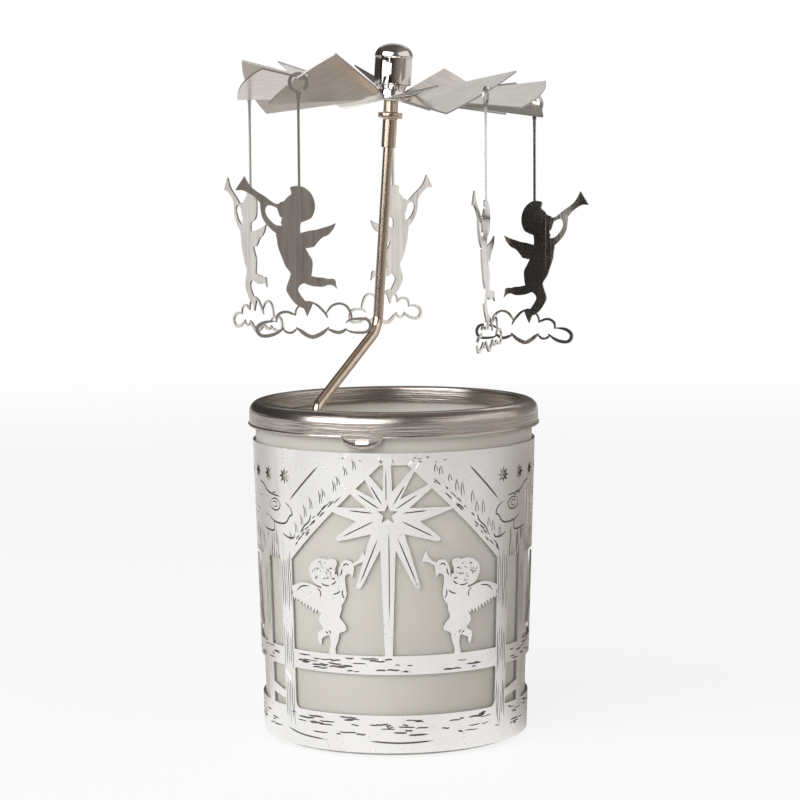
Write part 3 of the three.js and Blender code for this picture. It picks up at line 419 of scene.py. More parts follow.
# How they are made, and for each name: its light and dull tone, its roughness from and to, and
# what its maker asks for besides.
LOOKS = {
    frosted_glass: {"frosted_glass": ()},
    etched_metal: {
        "silver_sheet": (((0.94, 0.93, 0.915), (0.76, 0.74, 0.71)), (0.22, 0.4), 1600, 0.42, 0.22),
        # Painted shade: the grooves' near-black tone stands in for shade in the engraved lines.
        "etched_groove": (((0.20, 0.19, 0.18), (0.10, 0.095, 0.09)), (0.45, 0.7), 2200, 0.5, 0.3)},
    polished_metal: {
        # Painted shade: the cut edges' darker tone stands in for the shadowed thickness of the
        # sheet.
        "cut_edge": (((0.5, 0.48, 0.46), (0.35, 0.34, 0.32)), (0.3, 0.5), (900, 900, 4000)),
        "brushed_ring": (
            ((0.54, 0.49, 0.45), (0.34, 0.30, 0.27)), (0.18, 0.32), (60, 60, 2600), 0.45),
        "nickel_rod": (
            ((0.70, 0.58, 0.47), (0.44, 0.345, 0.265)), (0.12, 0.26), (700, 700, 90), 0.1),
        "hub_chrome": (
            ((0.72, 0.68, 0.665), (0.62, 0.58, 0.56)), (0.04, 0.12), (300, 300, 900), 0.03),
        "rotor_sheet": (((0.74, 0.695, 0.645), (0.60, 0.55, 0.495)), (0.1, 0.22), (260, 700, 260)),
        "angel_sheet": (
            ((0.86, 0.82, 0.78), (0.60, 0.56, 0.52)), (0.06, 0.14), (1300, 1300, 60), 0.1, 90, 2.6),
        "cup_brass": (((0.75, 0.6, 0.32), (0.6, 0.47, 0.24)), (0.2, 0.35), (900, 900, 900)),
        "needle_steel": (((0.6, 0.6, 0.6), (0.5, 0.5, 0.5)), (0.15, 0.3), (900, 900, 200)),
        "candle_foil": (((0.82, 0.82, 0.83), (0.7, 0.7, 0.71)), (0.25, 0.4), (700, 700, 90), 0.25)},
    soft_matter: {
        "candle_wax": (((0.93, 0.92, 0.88), (0.88, 0.865, 0.82)), 0.5, 140, 0.15),
        "wick_cotton": (((0.88, 0.86, 0.8), (0.6, 0.57, 0.5)), 0.85, 1500, 0.5)},
}
MATERIALS = {
    name: make(name, *look) for make, looks in LOOKS.items() for name, look in looks.items()}
print("materials", len(MATERIALS))

# %% [markdown]
# Turned pieces. The glass, the ring, the socket, the cap and the candle's cup are all round, so
# each is a profile carried round an axis. The pieces on the rod's tip share an axis that leans to
# the right, because the rod was bent by hand; their profiles are turned upright and then leaned.
# From here on all lengths are millimetres.

# %% Turning and placing helpers
HUB = np.array([0, 0, 147.3])
SPINDLE_LEAN = math.radians(3.9)
LEAN = np.array([
    [math.cos(SPINDLE_LEAN), 0, math.sin(SPINDLE_LEAN)],
    [0, 1, 0],
    [-math.sin(SPINDLE_LEAN), 0, math.cos(SPINDLE_LEAN)]])


def on_spindle(points):
    """From the spindle's own frame, leaned and lifted to the lantern's frame."""
    return points @ LEAN.T + HUB


def arc(cx, cy, radius, start, end, steps):
    """Points on a circle round (cx, cy), by angle in degrees."""
    a = np.radians(np.linspace(start, end, steps + 1))
    return np.stack([cx + radius * np.cos(a), cy + radius * np.sin(a)], -1)


def join(*runs):
    """Points and runs of points as one run."""
    return np.concatenate([np.atleast_2d(np.asarray(run, float)) for run in runs])


def turned(profile, steps):
    """Points [u, v]: profile point u, of radius r and height z, at azimuth v round Z."""
    a = np.linspace(0, 2 * math.pi, steps, endpoint=False)
    return around(a, profile[:, :1], profile[:, 1:])


def finish_piece(piece, node, slot, *more):
    """Gives a piece its materials, its body and slot, and lets it stand for its CAD node."""
    for name in (slot, *more):
        piece.data.materials.append(MATERIALS[name])
    bodies = frame["record"]["behaviour"]["bodies"]
    body = next(body for body, nodes in bodies.items() if node in nodes)
    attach(piece, body)
    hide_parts(node)
    print(piece.name, len(piece.data.polygons), "faces")


def grid_piece(name, points, node, slot, closed_u=False, sharp=35):
    """A finished piece from a grid of points."""
    piece = grid_object(name, points * MM, closed_u)
    tidy_mesh(piece, sharp=sharp)
    finish_piece(piece, node, slot)


def turned_piece(name, profile, node, slot, steps, place=np.asarray):
    """A closed turned solid. A profile that starts and ends on the axis closes with two poles."""
    grid_piece(name, place(turned(profile, steps)), node, slot, profile[0, 0] > 0)


print("spindle leans", round(math.degrees(SPINDLE_LEAN), 1), "degrees")

# %% Glass
GLASS_HEIGHT, FOOT_RADIUS, MOUTH_RADIUS, WALL, FLOOR = 77, 30, 32.3, 2.2, 5


def glass_radius(z):
    """The outside's radius at a height."""
    return FOOT_RADIUS + (MOUTH_RADIUS - FOOT_RADIUS) * z / GLASS_HEIGHT


def glass_profile():
    """Outside line up the cone, half-round lip, inside line down to a rounded floor."""
    lip, corner, floor_round = WALL / 2, 2.2, 3
    top = GLASS_HEIGHT - lip
    out = np.linspace(8, top - 2, 8)
    into = np.linspace(top - 2, FLOOR + floor_round + 2, 8)
    return join(
        [0, 1.1], [12, 0.9], [20, 0.5], [25.5, 0],
        arc(glass_radius(corner) - corner, corner, corner, -90, 0, 8),
        np.stack([glass_radius(out), out], -1),
        arc(glass_radius(top) - lip, top, lip, 0, 180, 12),
        np.stack([glass_radius(into) - WALL, into], -1),
        arc(glass_radius(FLOOR) - WALL - floor_round, FLOOR + floor_round, floor_round, 0, -90, 6),
        [14, FLOOR - 0.05], [0, FLOOR - 0.1])


turned_piece("glass", glass_profile(), "glass_tumbler", "frosted_glass", 192)

# %% [markdown]
# The ring is one pressing: a flange inside the glass, a flat rolled top, a skirt outside, and three
# half-round spring tabs pressed out of the skirt. The skirt's edge is a function of the azimuth, so
# the tabs grow out of the same surface. Its lowest points stand out a little and catch the light.

# %% Ring
RING_SHEET, RING_ROUND, FLANGE_ROUND = 0.5, 2.5, 0.6
RING_TOP = GLASS_HEIGHT + 0.8
SHOULDER = MOUTH_RADIUS + 0.3 + RING_SHEET + 0.45
SKIRT_BOTTOM = RING_TOP - 5.6
FLANGE_BOTTOM = RING_TOP - 3.7
FLANGE_INNER = glass_radius(FLANGE_BOTTOM) - WALL - 0.3 - RING_SHEET
TAB_HALF, TAB_DROP, TAB_START = 4.7, 2.2, -12
SKIRT_LOWERED = 0.8  # how far down the skirt's lowest rows reach from where they start


def tab_share(azimuth):
    """1 in the middle of a tab, 0 outside it, with a half-round outline between."""
    across = (azimuth - TAB_START + 60) % 120 - 60
    x = np.radians(across) * SHOULDER / TAB_HALF
    return np.sqrt(np.clip(1 - x * x, 0, 1))


def ring_mesh():
    """Profile [u] round azimuth [v]: down the skirt's inside, round its lip, up its outside, over
    the top and round the flange. The skirt's lowest rows drop by the tab's share."""
    tabs = np.concatenate([TAB_START + k * 120 + np.linspace(-9, 9, 61) for k in range(3)])
    azimuth = np.unique(np.round(np.concatenate([np.arange(0, 360, 1.5), tabs % 360]), 4))
    tab = tab_share(azimuth)
    cx, cz = SHOULDER - RING_ROUND, RING_TOP - RING_ROUND
    base, drop = SKIRT_BOTTOM + SKIRT_LOWERED, SKIRT_LOWERED + TAB_DROP * tab
    bead = 0.34 + 0.22 * tab
    flange_out, corner = FLANGE_INNER + RING_SHEET, 0.12
    lip = np.radians([-140, -100, -60, -20, 20, 60])
    rows = [
        *arc(cx, cz, RING_ROUND - RING_SHEET, 90, 0, 8),
        *[(SHOULDER - RING_SHEET, base - drop * share + 0.15 * share)
          for share in (0, 0.4, 0.8, 1)],
        *[(SHOULDER - 0.12 + bead * (0.25 + np.cos(t)), base - drop + 0.3 + bead * np.sin(t))
          for t in lip],
        *[(SHOULDER + 0.04 * tab * math.sin(math.pi * share), base - (drop - 0.5) * share)
          for share in (0.75, 0.35, 0)],
        (SHOULDER, cz - 0.6),
        *arc(cx, cz, RING_ROUND, 0, 90, 10), ((cx + FLANGE_INNER + FLANGE_ROUND) / 2, RING_TOP),
        *arc(FLANGE_INNER + FLANGE_ROUND, RING_TOP - FLANGE_ROUND, FLANGE_ROUND, 90, 180, 5),
        (FLANGE_INNER, RING_TOP - 2.5), (FLANGE_INNER, FLANGE_BOTTOM + corner),
        (FLANGE_INNER + corner, FLANGE_BOTTOM), (flange_out - corner, FLANGE_BOTTOM),
        (flange_out, FLANGE_BOTTOM + corner), (flange_out, RING_TOP - RING_SHEET)]
    r, z = (np.stack([row[i] + 0 * azimuth for row in rows]) for i in (0, 1))
    a = np.radians(azimuth)
    return np.stack([r * np.sin(a), -r * np.cos(a), z], -1)


grid_piece("ring", ring_mesh(), "rim_ring", "brushed_ring", True, 40)

# %% [markdown]
# The rod is a tube swept along one line: up from the flange, over a knee, up a slope, round a bend
# and then straight up the leaning spindle. The line is a chain of straight runs joined by smooth
# bends, and the tube's rings stand square to it.

# %% Rod
ROD_RADIUS, ROD_AZIMUTH, ROD_SLOPE = 1.17, math.radians(-38), math.radians(31.5)
BEND_HEIGHT = GLASS_HEIGHT + 17.1
BEND_RADII = (6, 2.6)
ROD_CHAMFER = 0.25


def on_axis(z):
    """The leaning spindle's middle line at a height z above the table."""
    return np.array([-(HUB[2] - z) * math.tan(SPINDLE_LEAN), 0, z])


def rod_foot(z):
    """Where the rod stands beside the flange, at a height z."""
    r = FLANGE_INNER - 0.3 - ROD_RADIUS
    return np.array([r * math.sin(ROD_AZIMUTH), -r * math.cos(ROD_AZIMUTH), z])


def rod_line():
    """Corners joined by quadratic bends: (1-t)^2 enter + 2t(1-t) corner + t^2 leave."""
    foot, bend = rod_foot(FLANGE_BOTTOM), on_axis(BEND_HEIGHT)
    knee = rod_foot(bend[2] - math.hypot(*(foot[:2] - bend[:2])) * math.tan(ROD_SLOPE))
    corners = [on_axis(HUB[2] - 1.6), bend, knee, foot]
    t = np.linspace(0, 1, 15)[:, None]
    points = [corners[0][None]]
    for radius, before, at, after in zip(BEND_RADII, corners, corners[1:], corners[2:]):
        back, on = ((end - at) / np.linalg.norm(end - at) for end in (before, after))
        reach = radius * math.tan((math.pi - math.acos(back @ on)) / 2)
        enter, leave = at + back * reach, at + on * reach
        points.append((1 - t) ** 2 * enter + 2 * t * (1 - t) * at + t * t * leave)
    return np.concatenate([*points, foot[None]])


def tube(line, radius, chamfer, steps=32):
    """Rings of one radius square to a line, with three smaller rings to close either end."""
    tangent = np.gradient(line, axis=0)
    tangent[0], tangent[-1] = line[1] - line[0], line[-1] - line[-2]
    tangent /= np.linalg.norm(tangent, axis=1)[:, None]
    side = np.cross(tangent, [0.62, -0.78, 0])
    side /= np.linalg.norm(side, axis=1)[:, None]
    ids = np.r_[0, 0, 0, np.arange(len(line)), [len(line) - 1] * 3]
    middle, side, up = line[ids], side[ids], np.cross(side, tangent)[ids]
    middle[3] += tangent[0] * chamfer
    middle[-4] -= tangent[-1] * chamfer
    small = [0, 0.6, 1 - chamfer / radius]
    reach = radius * np.r_[small, np.ones(len(line)), small[::-1]]
    a = np.linspace(0, 2 * math.pi, steps, endpoint=False)[:, None]
    round_line = np.cos(a) * side[:, None] + np.sin(a) * up[:, None]
    return middle[:, None] + reach[:, None, None] * round_line


grid_piece("rod", tube(rod_line(), ROD_RADIUS, ROD_CHAMFER), "support_rod", "nickel_rod")

# %% [markdown]
# The sleeve and the angels are flat sheet, so they are drawn flat: outlines that are cut, outlines
# that stay, and engraved strokes. All the lines go into one constrained triangulation. A triangle
# stays if its centre lies in the metal, and a corner sinks where a stroke's middle line passes, so
# every stroke is a real V-shaped groove. Then the whole sheet is bent by one function.

# %% Curves and strokes
def catmull_rom(before, start, end, after, steps):
    """Even samples of the Catmull-Rom cubic from each start to its end."""
    a, b, c, d = before, start, end, after
    t = np.linspace(0, 1, steps, endpoint=False)[:, None, None]
    curve = 0.5 * (2 * b + (c - a) * t + (2 * a - 5 * b + 4 * c - d) * t ** 2
                   + (3 * b - a - 3 * c + d) * t ** 3)
    return curve.transpose(1, 0, 2).reshape(-1, 2)


def smooth_loop(points, steps):
    """Smooth curve through a closed run of points."""
    return catmull_rom(*(np.roll(np.asarray(points, float), k, 0) for k in (1, 0, -1, -2)), steps)


def smooth_line(points, steps=4):
    """Smooth curve through an open run of points, its ends continued straight."""
    p = np.asarray(points, float)
    p = np.concatenate([2 * p[:1] - p[1:2], p, 2 * p[-1:] - p[-2:-1]])
    return np.concatenate([catmull_rom(p[:-3], p[1:-2], p[2:-1], p[3:], steps), p[-2:-1]])


def cornered(*runs):
    """Smooth curves through open runs of points, with a corner wherever two of them meet."""
    return join(*(smooth_line(run) for run in runs))


def widened(line, half):
    """Outline of a line drawn with a half width at each of its points."""
    along = np.gradient(line, axis=0)
    along /= np.maximum(np.linalg.norm(along, axis=1), 1e-9)[:, None]
    out = np.stack([-along[:, 1], along[:, 0]], -1) * half[:, None]
    return np.concatenate([line + out, (line - out)[::-1]])


def band(points, width):
    """Outline of a brush stroke: its width times 1 - |2 share - 1|^5, and never under a quarter."""
    line = smooth_line(points, 5)
    share = np.linspace(0, 1, len(line))
    return widened(line, width / 2 * np.clip(1 - np.abs(2 * share - 1) ** 5, 0.25, 1))


def stroke(points, width, steps=4):
    """An engraved line: its middle line and its half widths, pointed at both ends."""
    line = smooth_line(points, steps)
    share = np.linspace(0, 1, len(line))
    return line, width / 2 * np.sqrt(np.clip(1 - (2 * share - 1) ** 4, 0.004, 1))


# %% Flat sheet
def in_outline(points, outline):
    """Even-odd test of many points against one closed outline."""
    hit = np.zeros(len(points), bool)
    near = np.all((points >= outline.min(0)) & (points <= outline.max(0)), 1)
    if near.any():
        p = points[near][:, None]
        a, b = outline[None], np.roll(outline, -1, 0)[None]
        rises = (a[..., 1] > p[..., 1]) != (b[..., 1] > p[..., 1])
        height = np.where(rises, b[..., 1] - a[..., 1], 1)
        cross = a[..., 0] + (p[..., 1] - a[..., 1]) * (b[..., 0] - a[..., 0]) / height
        hit[near] = (rises & (p[..., 0] < cross)).sum(1) % 2 == 1
    return hit


def in_any(points, outlines):
    """Which points lie in at least one outline."""
    return np.any([np.zeros(len(points), bool), *(in_outline(points, o) for o in outlines)], 0)


def groove_depth(points, strokes):
    """The deepest of depth = 1 - distance / half width over all strokes, per point."""
    depth = np.zeros(len(points))
    for line, half in strokes:
        reach = half.max()
        near = np.all((points > line.min(0) - reach) & (points < line.max(0) + reach), 1)
        if not near.any():
            continue
        p = points[near][:, None]
        a, span = line[None, :-1], line[None, 1:] - line[None, :-1]
        t = np.clip(((p - a) * span).sum(-1) / np.maximum((span ** 2).sum(-1), 1e-12), 0, 1)
        away = np.linalg.norm(p - (a + t[..., None] * span), axis=-1)
        wide = half[None, :-1] + t * (half[1:] - half[:-1])[None]
        depth[near] = np.maximum(depth[near], np.clip(1 - away / wide, 0, 1).max(1))
    return depth


def flat_sheet(plate=(), holes=(), figures=(), last_holes=(), strokes=(), bend_lines=()):
    """Triangulates a drawing: the plate without its holes, then the figures without the last holes.
    Returns the points, the metal's triangles, and which of them lie in a groove."""
    grooves = [widened(*line) for line in strokes]
    runs = [(outline, True) for outline in (*plate, *holes, *figures, *last_holes)]
    for groove, (line, _) in zip(grooves, strokes):
        runs += [(groove, True), (line, False)]
    runs += [(line, False) for line in bend_lines]
    edges, start = [], 0
    for run, closed in runs:
        ids = np.arange(start, start + len(run))
        pairs = np.stack([ids, np.roll(ids, -1)], -1)
        edges.append(pairs if closed else pairs[:-1])
        start += len(run)
    corners = [Vector(p) for p in np.concatenate([run for run, _ in runs]).tolist()]
    found = delaunay_2d_cdt(corners, np.concatenate(edges).tolist(), [], 0, 1e-4, False)
    at, triangles = np.array([tuple(p) for p in found[0]]), np.array(found[2])
    middle = at[triangles].mean(1)
    keep = in_any(middle, plate) & ~in_any(middle, holes)
    keep = (keep | in_any(middle, figures)) & ~in_any(middle, last_holes)
    triangles, middle = triangles[keep], middle[keep]
    a, b, c = at[triangles].transpose(1, 0, 2)
    turn = np.cross(b - a, c - a)
    triangles[turn < 0] = triangles[turn < 0][:, ::-1]
    return at, triangles, in_any(middle, grooves)


def thick_sheet(name, drawing, thickness, place, strokes=(), groove=0):
    """A closed sheet from z = 0 to its thickness, sunk along strokes and bent by place(x, y, z).
    Material slots: 0 the faces, 1 the grooves, 2 the cut edges. Where the last two get a darker
    metal, it is painted shade."""
    at, triangles, grooved = drawing
    depth = groove_depth(at, strokes) * groove
    used, numbers = np.unique(triangles, return_inverse=True)
    (x, y), depth, triangles = at[used].T, depth[used], numbers.reshape(-1, 3)
    n = len(used)
    points = np.concatenate([place(x, y, thickness - depth), place(x, y, 0 * depth)])
    sides = np.concatenate([triangles[:, [0, 1]], triangles[:, [1, 2]], triangles[:, [2, 0]]])
    a, b = sides[~np.isin(sides @ [n, 1], sides @ [1, n])].T
    walls = np.concatenate([np.stack([a, a + n, b + n], -1), np.stack([a, b + n, b], -1)])
    piece = mesh_object(
        name, points * MM, np.concatenate([triangles, triangles[:, ::-1] + n, walls]))
    slots = np.concatenate([grooved.astype(int), 0 * grooved, np.full(len(walls), 2)])
    piece.data.polygons.foreach_set("material_index", slots)
    tidy_mesh(piece, 1e-7, 24)
    return piece

# %% [markdown]
# The sleeve's picture: a stable whose roof opens onto a large star, with a horn blower on each
# side. Windows are cut out, the star and the figures stay in the metal. The front bay is repeated
# at the back, and fir trees stand in the openings between. Timber is engraved with short strokes
# placed by a seeded random generator, so that no two planks are the same.

# %% Sleeve measures
SLEEVE_BOTTOM, SLEEVE_TOP, SLEEVE_SHEET, GROOVE_DEPTH = 1, 68.9, 0.4, 0.16


def sleeve_inner(z):
    """The sleeve's inside radius at a height."""
    return glass_radius(z) + 0.3


FLAT_WIDTH = 2 * math.pi * (sleeve_inner((SLEEVE_BOTTOM + SLEEVE_TOP) / 2) + SLEEVE_SHEET)
BAY_HALF, POST, SLIT, TRUNK = 25.8, 3.9, 5.3, 3
SILL, RAIL_LOW, RAIL_HIGH, SIDE_HEAD = 9.6, 18.9, 23.2, 43.6
GABLE_TOP = SLEEVE_TOP - 2.7
EAVE = GABLE_TOP - 22.4
STAR_X, STAR_Y = -1.4, SLEEVE_TOP - 13.7
BAY_STEP = FLAT_WIDTH / 4
SIDE_HALF = BAY_STEP - BAY_HALF - POST
SKY_Y = SLEEVE_TOP - 6.3
ROOF_RUN = np.array([BAY_HALF - 3, EAVE - GABLE_TOP]) / math.hypot(BAY_HALF - 3, EAVE - GABLE_TOP)
ROOF_UP = np.array([-ROOF_RUN[1], ROOF_RUN[0]])
print("flat sleeve", round(FLAT_WIDTH, 1), "by", round(SLEEVE_TOP - SLEEVE_BOTTOM, 1), "mm")

# %% Sleeve outlines
# Each ray and each notch between: degrees from straight up, then its distance from the middle.
RAYS = ((30, 14.6), (56, 16.5), (85, 16), (117, 13.2), (158, 18.2))
NOTCHES = ((11, 5.3), (39, 4.4), (73, 5), (103, 7.3), (140, 5.8), (168, 8.2))
# The horn blower of the left half, from the middle of the bay and the rail's top edge.
BLOWER = (
    smooth_loop([[-20.4, 18.3], [-20.1, 19.9], [-18.7, 21.1], [-16.8, 21.6], [-15.4, 21.4],
        [-14.5, 21.7], [-13.3, 21.4], [-13.1, 20.4], [-13.6, 19.3], [-12.9, 17.5], [-13.9, 16.1],
        [-15.7, 15.3], [-17.9, 15.3], [-19.5, 16.3]], 3),
    smooth_loop([[-16.8, 15.7], [-13.2, 16.9], [-12.7, 19], [-12.2, 20.5], [-11.3, 21.5],
        [-9.8, 21.4], [-9.1, 20.3], [-9.1, 19.2], [-9.5, 17.6], [-10, 18.4], [-10.7, 18.3],
        [-11.2, 17.5], [-11, 15], [-10.9, 13.7], [-11.5, 12.1], [-12.1, 11.3], [-12.2, 10.1],
        [-12.7, 8.4], [-11.5, 7], [-11.1, 5.8], [-11.7, 5.3], [-12.8, 4.8], [-13.2, 3.1],
        [-13.9, 1.2], [-13.8, -0.7], [-15, -0.8], [-15.5, 0.4], [-15.1, 2], [-15.3, 4.1],
        [-16.4, 3.9], [-17.3, 3.4], [-17.4, 2.4], [-17.9, 1.9], [-18.3, 3], [-18.4, 4.6],
        [-17, 5.6], [-17.7, 6.7], [-18.1, 7.7], [-17.3, 9.7], [-17.9, 12.2]], 3),
    join(smooth_line([[-17, 14.6], [-18.5, 15.1], [-20.3, 15.6], [-22.2, 15.7], [-24.1, 15.2],
        [-26.4, 14.3]]), [[-26.4, 11.3], [-25.6, 12.2], [-25.3, 11.3], [-24.7, 12.1], [-24.3, 11.1],
        [-23.7, 11.8], [-23.4, 10.6], [-22.8, 11.4], [-22.4, 10.3], [-21.9, 11], [-21.5, 9.7],
        [-21, 10.8], [-20.6, 9.5], [-20.1, 10.4], [-19.8, 8.9], [-19.2, 10], [-18.9, 8.9],
        [-18.3, 9.9], [-18, 8.8], [-17.2, 9.4]]),
    join([[-9.6, 20.7]], smooth_line([[-9.4, 20.9], [-8.2, 21.6], [-7.5, 22.5], [-7, 23.8]], 3),
        smooth_line([[-5.9, 21.2], [-7.2, 21.2], [-8.3, 20.7], [-9.3, 20.1]], 3)),
)
FIR_TREE = np.array([
    [-1, -0.5], [1, -0.5], [1, 3], [7, 3], [3.4, 8], [5.6, 8], [2.6, 12.6], [4.2, 12.6], [0, 19],
    [-4.2, 12.6], [-2.6, 12.6], [-5.6, 8], [-3.4, 8], [-7, 3], [-1, 3]])
# A short plank across the lower opening beside a post, from that opening's outer edge.
BRACE = np.array([[-0.3, 12.9], [5.6, 14.5], [5.6, 12.1], [-0.3, 11.1]])
GABLE_WINDOW = np.array([
    [-BAY_HALF, RAIL_HIGH], [BAY_HALF, RAIL_HIGH], [BAY_HALF, EAVE], [3, GABLE_TOP],
    [-3, GABLE_TOP], [-BAY_HALF, EAVE]])
LOWER_WINDOW = join(
    arc(-BAY_HALF + 1.6, SILL + 1.6, 1.6, 180, 270, 6),
    arc(BAY_HALF - 1.6, SILL + 1.6, 1.6, 270, 360, 6), [BAY_HALF, RAIL_LOW], [-BAY_HALF, RAIL_LOW])


def flipped(outline, flip, dx=0, dy=0):
    """An outline mirrored if flip is -1, then shifted."""
    return np.asarray(outline, float) * [flip, 1] + [dx, dy]


def box_outline(x0, x1, y0, y1):
    """A rectangle between two places across and two up."""
    return np.array([[x0, y0], [x1, y0], [x1, y1], [x0, y1]], float)


def star_points(cx, cy, count, outer, inner):
    """A star's outline from its top point, by turns on two radii."""
    a = np.radians(90 + 180 / count * np.arange(2 * count))
    r = np.where(np.arange(2 * count) % 2, inner, outer)
    return np.stack([cx + r * np.cos(a), cy + r * np.sin(a)], -1)


def polar(deg, r, side=1):
    """A point by its angle and distance from the large star's middle, to the right or left."""
    a = math.radians(deg)
    return [STAR_X + side * r * math.sin(a), STAR_Y + r * math.cos(a)]


def ray_tip(deg, r, side):
    """A ray's point; the rays that hang free in the window end in a small arc instead."""
    middle = np.array([STAR_X, STAR_Y])
    tip = np.array(polar(deg, r, side)) - middle
    if deg <= 100:
        return tip + middle
    along = tip / np.linalg.norm(tip)
    across = np.array([along[1], -along[0]]) * side
    a = np.radians(np.linspace(-80, 80, 6))[:, None]
    return tip + middle - along * 0.7 + 0.62 * (np.cos(a) * along + np.sin(a) * across)


def star_half(side):
    """One side's notches and rays by turns, down from the gable."""
    run = []
    for notch, ray in zip(NOTCHES, RAYS):
        run += [polar(*notch, side), ray_tip(*ray, side)]
    return join(*run, polar(*NOTCHES[-1], side))


def large_star():
    """Down the right side from the gable, along the shaft's foot on the rail, and up the left."""
    head, foot = 0.8, 0.85
    return join([STAR_X + head, GABLE_TOP + 1], star_half(1), [STAR_X + foot, RAIL_HIGH - 1],
                [STAR_X - foot, RAIL_HIGH - 1], star_half(-1)[::-1], [STAR_X - head, GABLE_TOP + 1])


def side_drawing(x, rng):
    """Openings beside a side stretch's trunks, its row of small stars, and the straw's slots."""
    slit, middle = SIDE_HALF - SLIT, SIDE_HALF - SLIT - TRUNK
    spans = ((-SIDE_HALF, -slit), (-middle, middle), (slit, SIDE_HALF))
    holes = [box_outline(x + a, x + b, low, high)
             for a, b in spans for low, high in ((RAIL_HIGH, SIDE_HEAD), (SILL, RAIL_LOW))]
    holes += [star_points(x + along, SKY_Y, 8, 1.9, 0.95)
              for along in np.linspace(-SIDE_HALF - 2.4, SIDE_HALF + 2.4, 8)]
    # Slots between the ends of the straw that hangs over the openings.
    for a, b in spans:
        for along in x + np.arange(a + 0.5, b - 0.3, 1.05):
            tall = rng.uniform(1.5, 5)
            holes.append(np.array([[along - 0.26, SIDE_HEAD - 0.3], [along + 0.26, SIDE_HEAD - 0.3],
                                   [along + rng.uniform(-0.2, 0.2), SIDE_HEAD + tall]]))
    return holes


print("horn blower's outlines", [len(part) for part in BLOWER])

# %% Sleeve strokes
BLOWER_LINES = (
    # collar, hand, sleeve, elbow, wing, knee
    [[-17.2, 15.9], [-16.2, 15.5], [-15, 15.5]], [[-14.6, 15.8], [-13.9, 16.1], [-13.4, 16.7]],
    [[-11.6, 20.1], [-11, 20.7], [-10.2, 20.4]], [[-12.4, 17.9], [-12, 18.7], [-11.9, 19.6]],
    [[-14.2, 13.6], [-13.2, 13.9], [-12.3, 14.5]], [[-11.8, 14.8], [-11.9, 13.6],
    [-11.4, 12.8]], [[-24.3, 13.5], [-22.8, 14.7], [-20.6, 15]], [[-18.3, 14.7], [-17.5, 14],
    [-17.4, 12.6]], [[-26.1, 13.5], [-25.8, 12.9], [-25.9, 12.4]], [[-16.4, 4.9], [-16, 4.8],
    [-15.7, 4.5]], [[-15.6, 5.3], [-15.2, 5], [-15, 4.5]],
    # eye, nose, mouth
    [[-15, 19.3], [-14.7, 19.5], [-14.3, 19.3]], [[-13.6, 18.9], [-13.4, 18.4], [-13.6, 18.2]],
    [[-14.5, 17.3], [-14, 17.1], [-13.6, 17.3]],
)
STAR_LINES = ((30, 2.6, 7.4), (56, 2.2, 7.8), (85, 3.3, 8.7), (117, 3.4, 11.4), (158, 6, 16.6))
SHAFT_LINES = (
    (0.22, [[STAR_X + 0.2, STAR_Y - 4], [STAR_X + 0.25, 44], [STAR_X + 0.2, RAIL_HIGH + 8]]),
    (0.2, [[STAR_X - 0.3, STAR_Y + 3], [STAR_X - 0.3, 60], [STAR_X - 0.3, GABLE_TOP - 1]]))
GROUND_LINES = (
    (0.36, [[-29, 4.6], [-24, 3.7], [-17, 3.3]]), (0.42, [[-6, 3.7], [1, 3.3], [9, 3.6]]))
EAVES_LINES = (
    # width and points of: the barge board's edge, the curl over the bracket, its round boss, the
    # bracket, the ledge under it, two nicks
    (0.44, [[17.3, 65.5], [21.5, 61.4], [25.8, 57.2]]),
    (0.42, [[39.3, 60.4], [36.8, 59.9], [34.8, 58.6], [32.4, 58], [29.1, 57.7]]),
    (0.34, [[33.2, 56.6], [31, 57.1], [29.3, 56.1], [29.8, 54.8], [31.6, 54.4], [33.3, 55.1],
        [33.2, 56.6]]),
    (0.24, [[32.4, 56.1], [31.3, 56.4], [30.4, 55.8], [31, 55.2], [32.2, 55.3]]),
    (0.42, [[34.4, 53.1], [32.4, 52], [30, 51.6], [27.4, 51.9], [25.9, 53.6], [25.1, 54],
        [25.6, 55.4], [27.4, 56.6]]),
    (0.4, [[37, 50], [34.6, 49.6], [32, 49.8], [32, 52]]),
    (0.42, [[28.6, 49.5], [26.8, 48.7], [25, 48.7], [24.4, 49.6]]),
    (0.36, [[22.8, 50.1], [21.4, 51.8], [20.1, 52.9], [19.4, 54.5]]),
)
# Planks: half length, lowest and highest stroke, how many, and the strokes' lengths and widths.
BAY_PLANKS = (
    (25, RAIL_LOW + 0.6, RAIL_HIGH - 0.5, 36, (1, 4.6), (0.2, 0.44)),
    (28, 4.9, SILL - 0.7, 46, (1, 4.6), (0.2, 0.44)),
    (12, SLEEVE_TOP - 2.2, SLEEVE_TOP - 0.9, 12, (0.3, 0.9), (0.16, 0.26)))
SIDE_PLANKS = (
    (19.5, 51.6, 58.5, 46, (0.4, 1.6), (0.18, 0.34)),
    (19, RAIL_LOW + 0.6, RAIL_HIGH - 0.5, 34, (1.2, 4.2), (0.2, 0.4)),
    (19, 4.2, SILL - 0.7, 40, (1.2, 4.2), (0.2, 0.4)))
FIR_TWIGS = ((4.4, 4.6), (6.2, 2.6), (9.4, 3.4), (11, 1.8), (14, 2), (16, 1))


def planks(rng, half, low, high, count, lengths, widths):
    """Short wavering strokes along a plank, at random places inside its edges."""
    runs = []
    for _ in range(count):
        long = rng.uniform(*lengths)
        start, y = rng.uniform(-half, half - long), rng.uniform(low, high)
        run = np.stack([start + long * np.linspace(0, 1, 4), y + rng.uniform(-0.1, 0.1, 4)], -1)
        runs.append(stroke(run, rng.uniform(*widths), 3))
    return runs


def upright(rng, x, low, high, sway, count):
    """Points of a line of grain that goes up a post and wavers."""
    return np.stack([x + rng.uniform(-sway, sway, count), np.linspace(low, high, count)], -1)


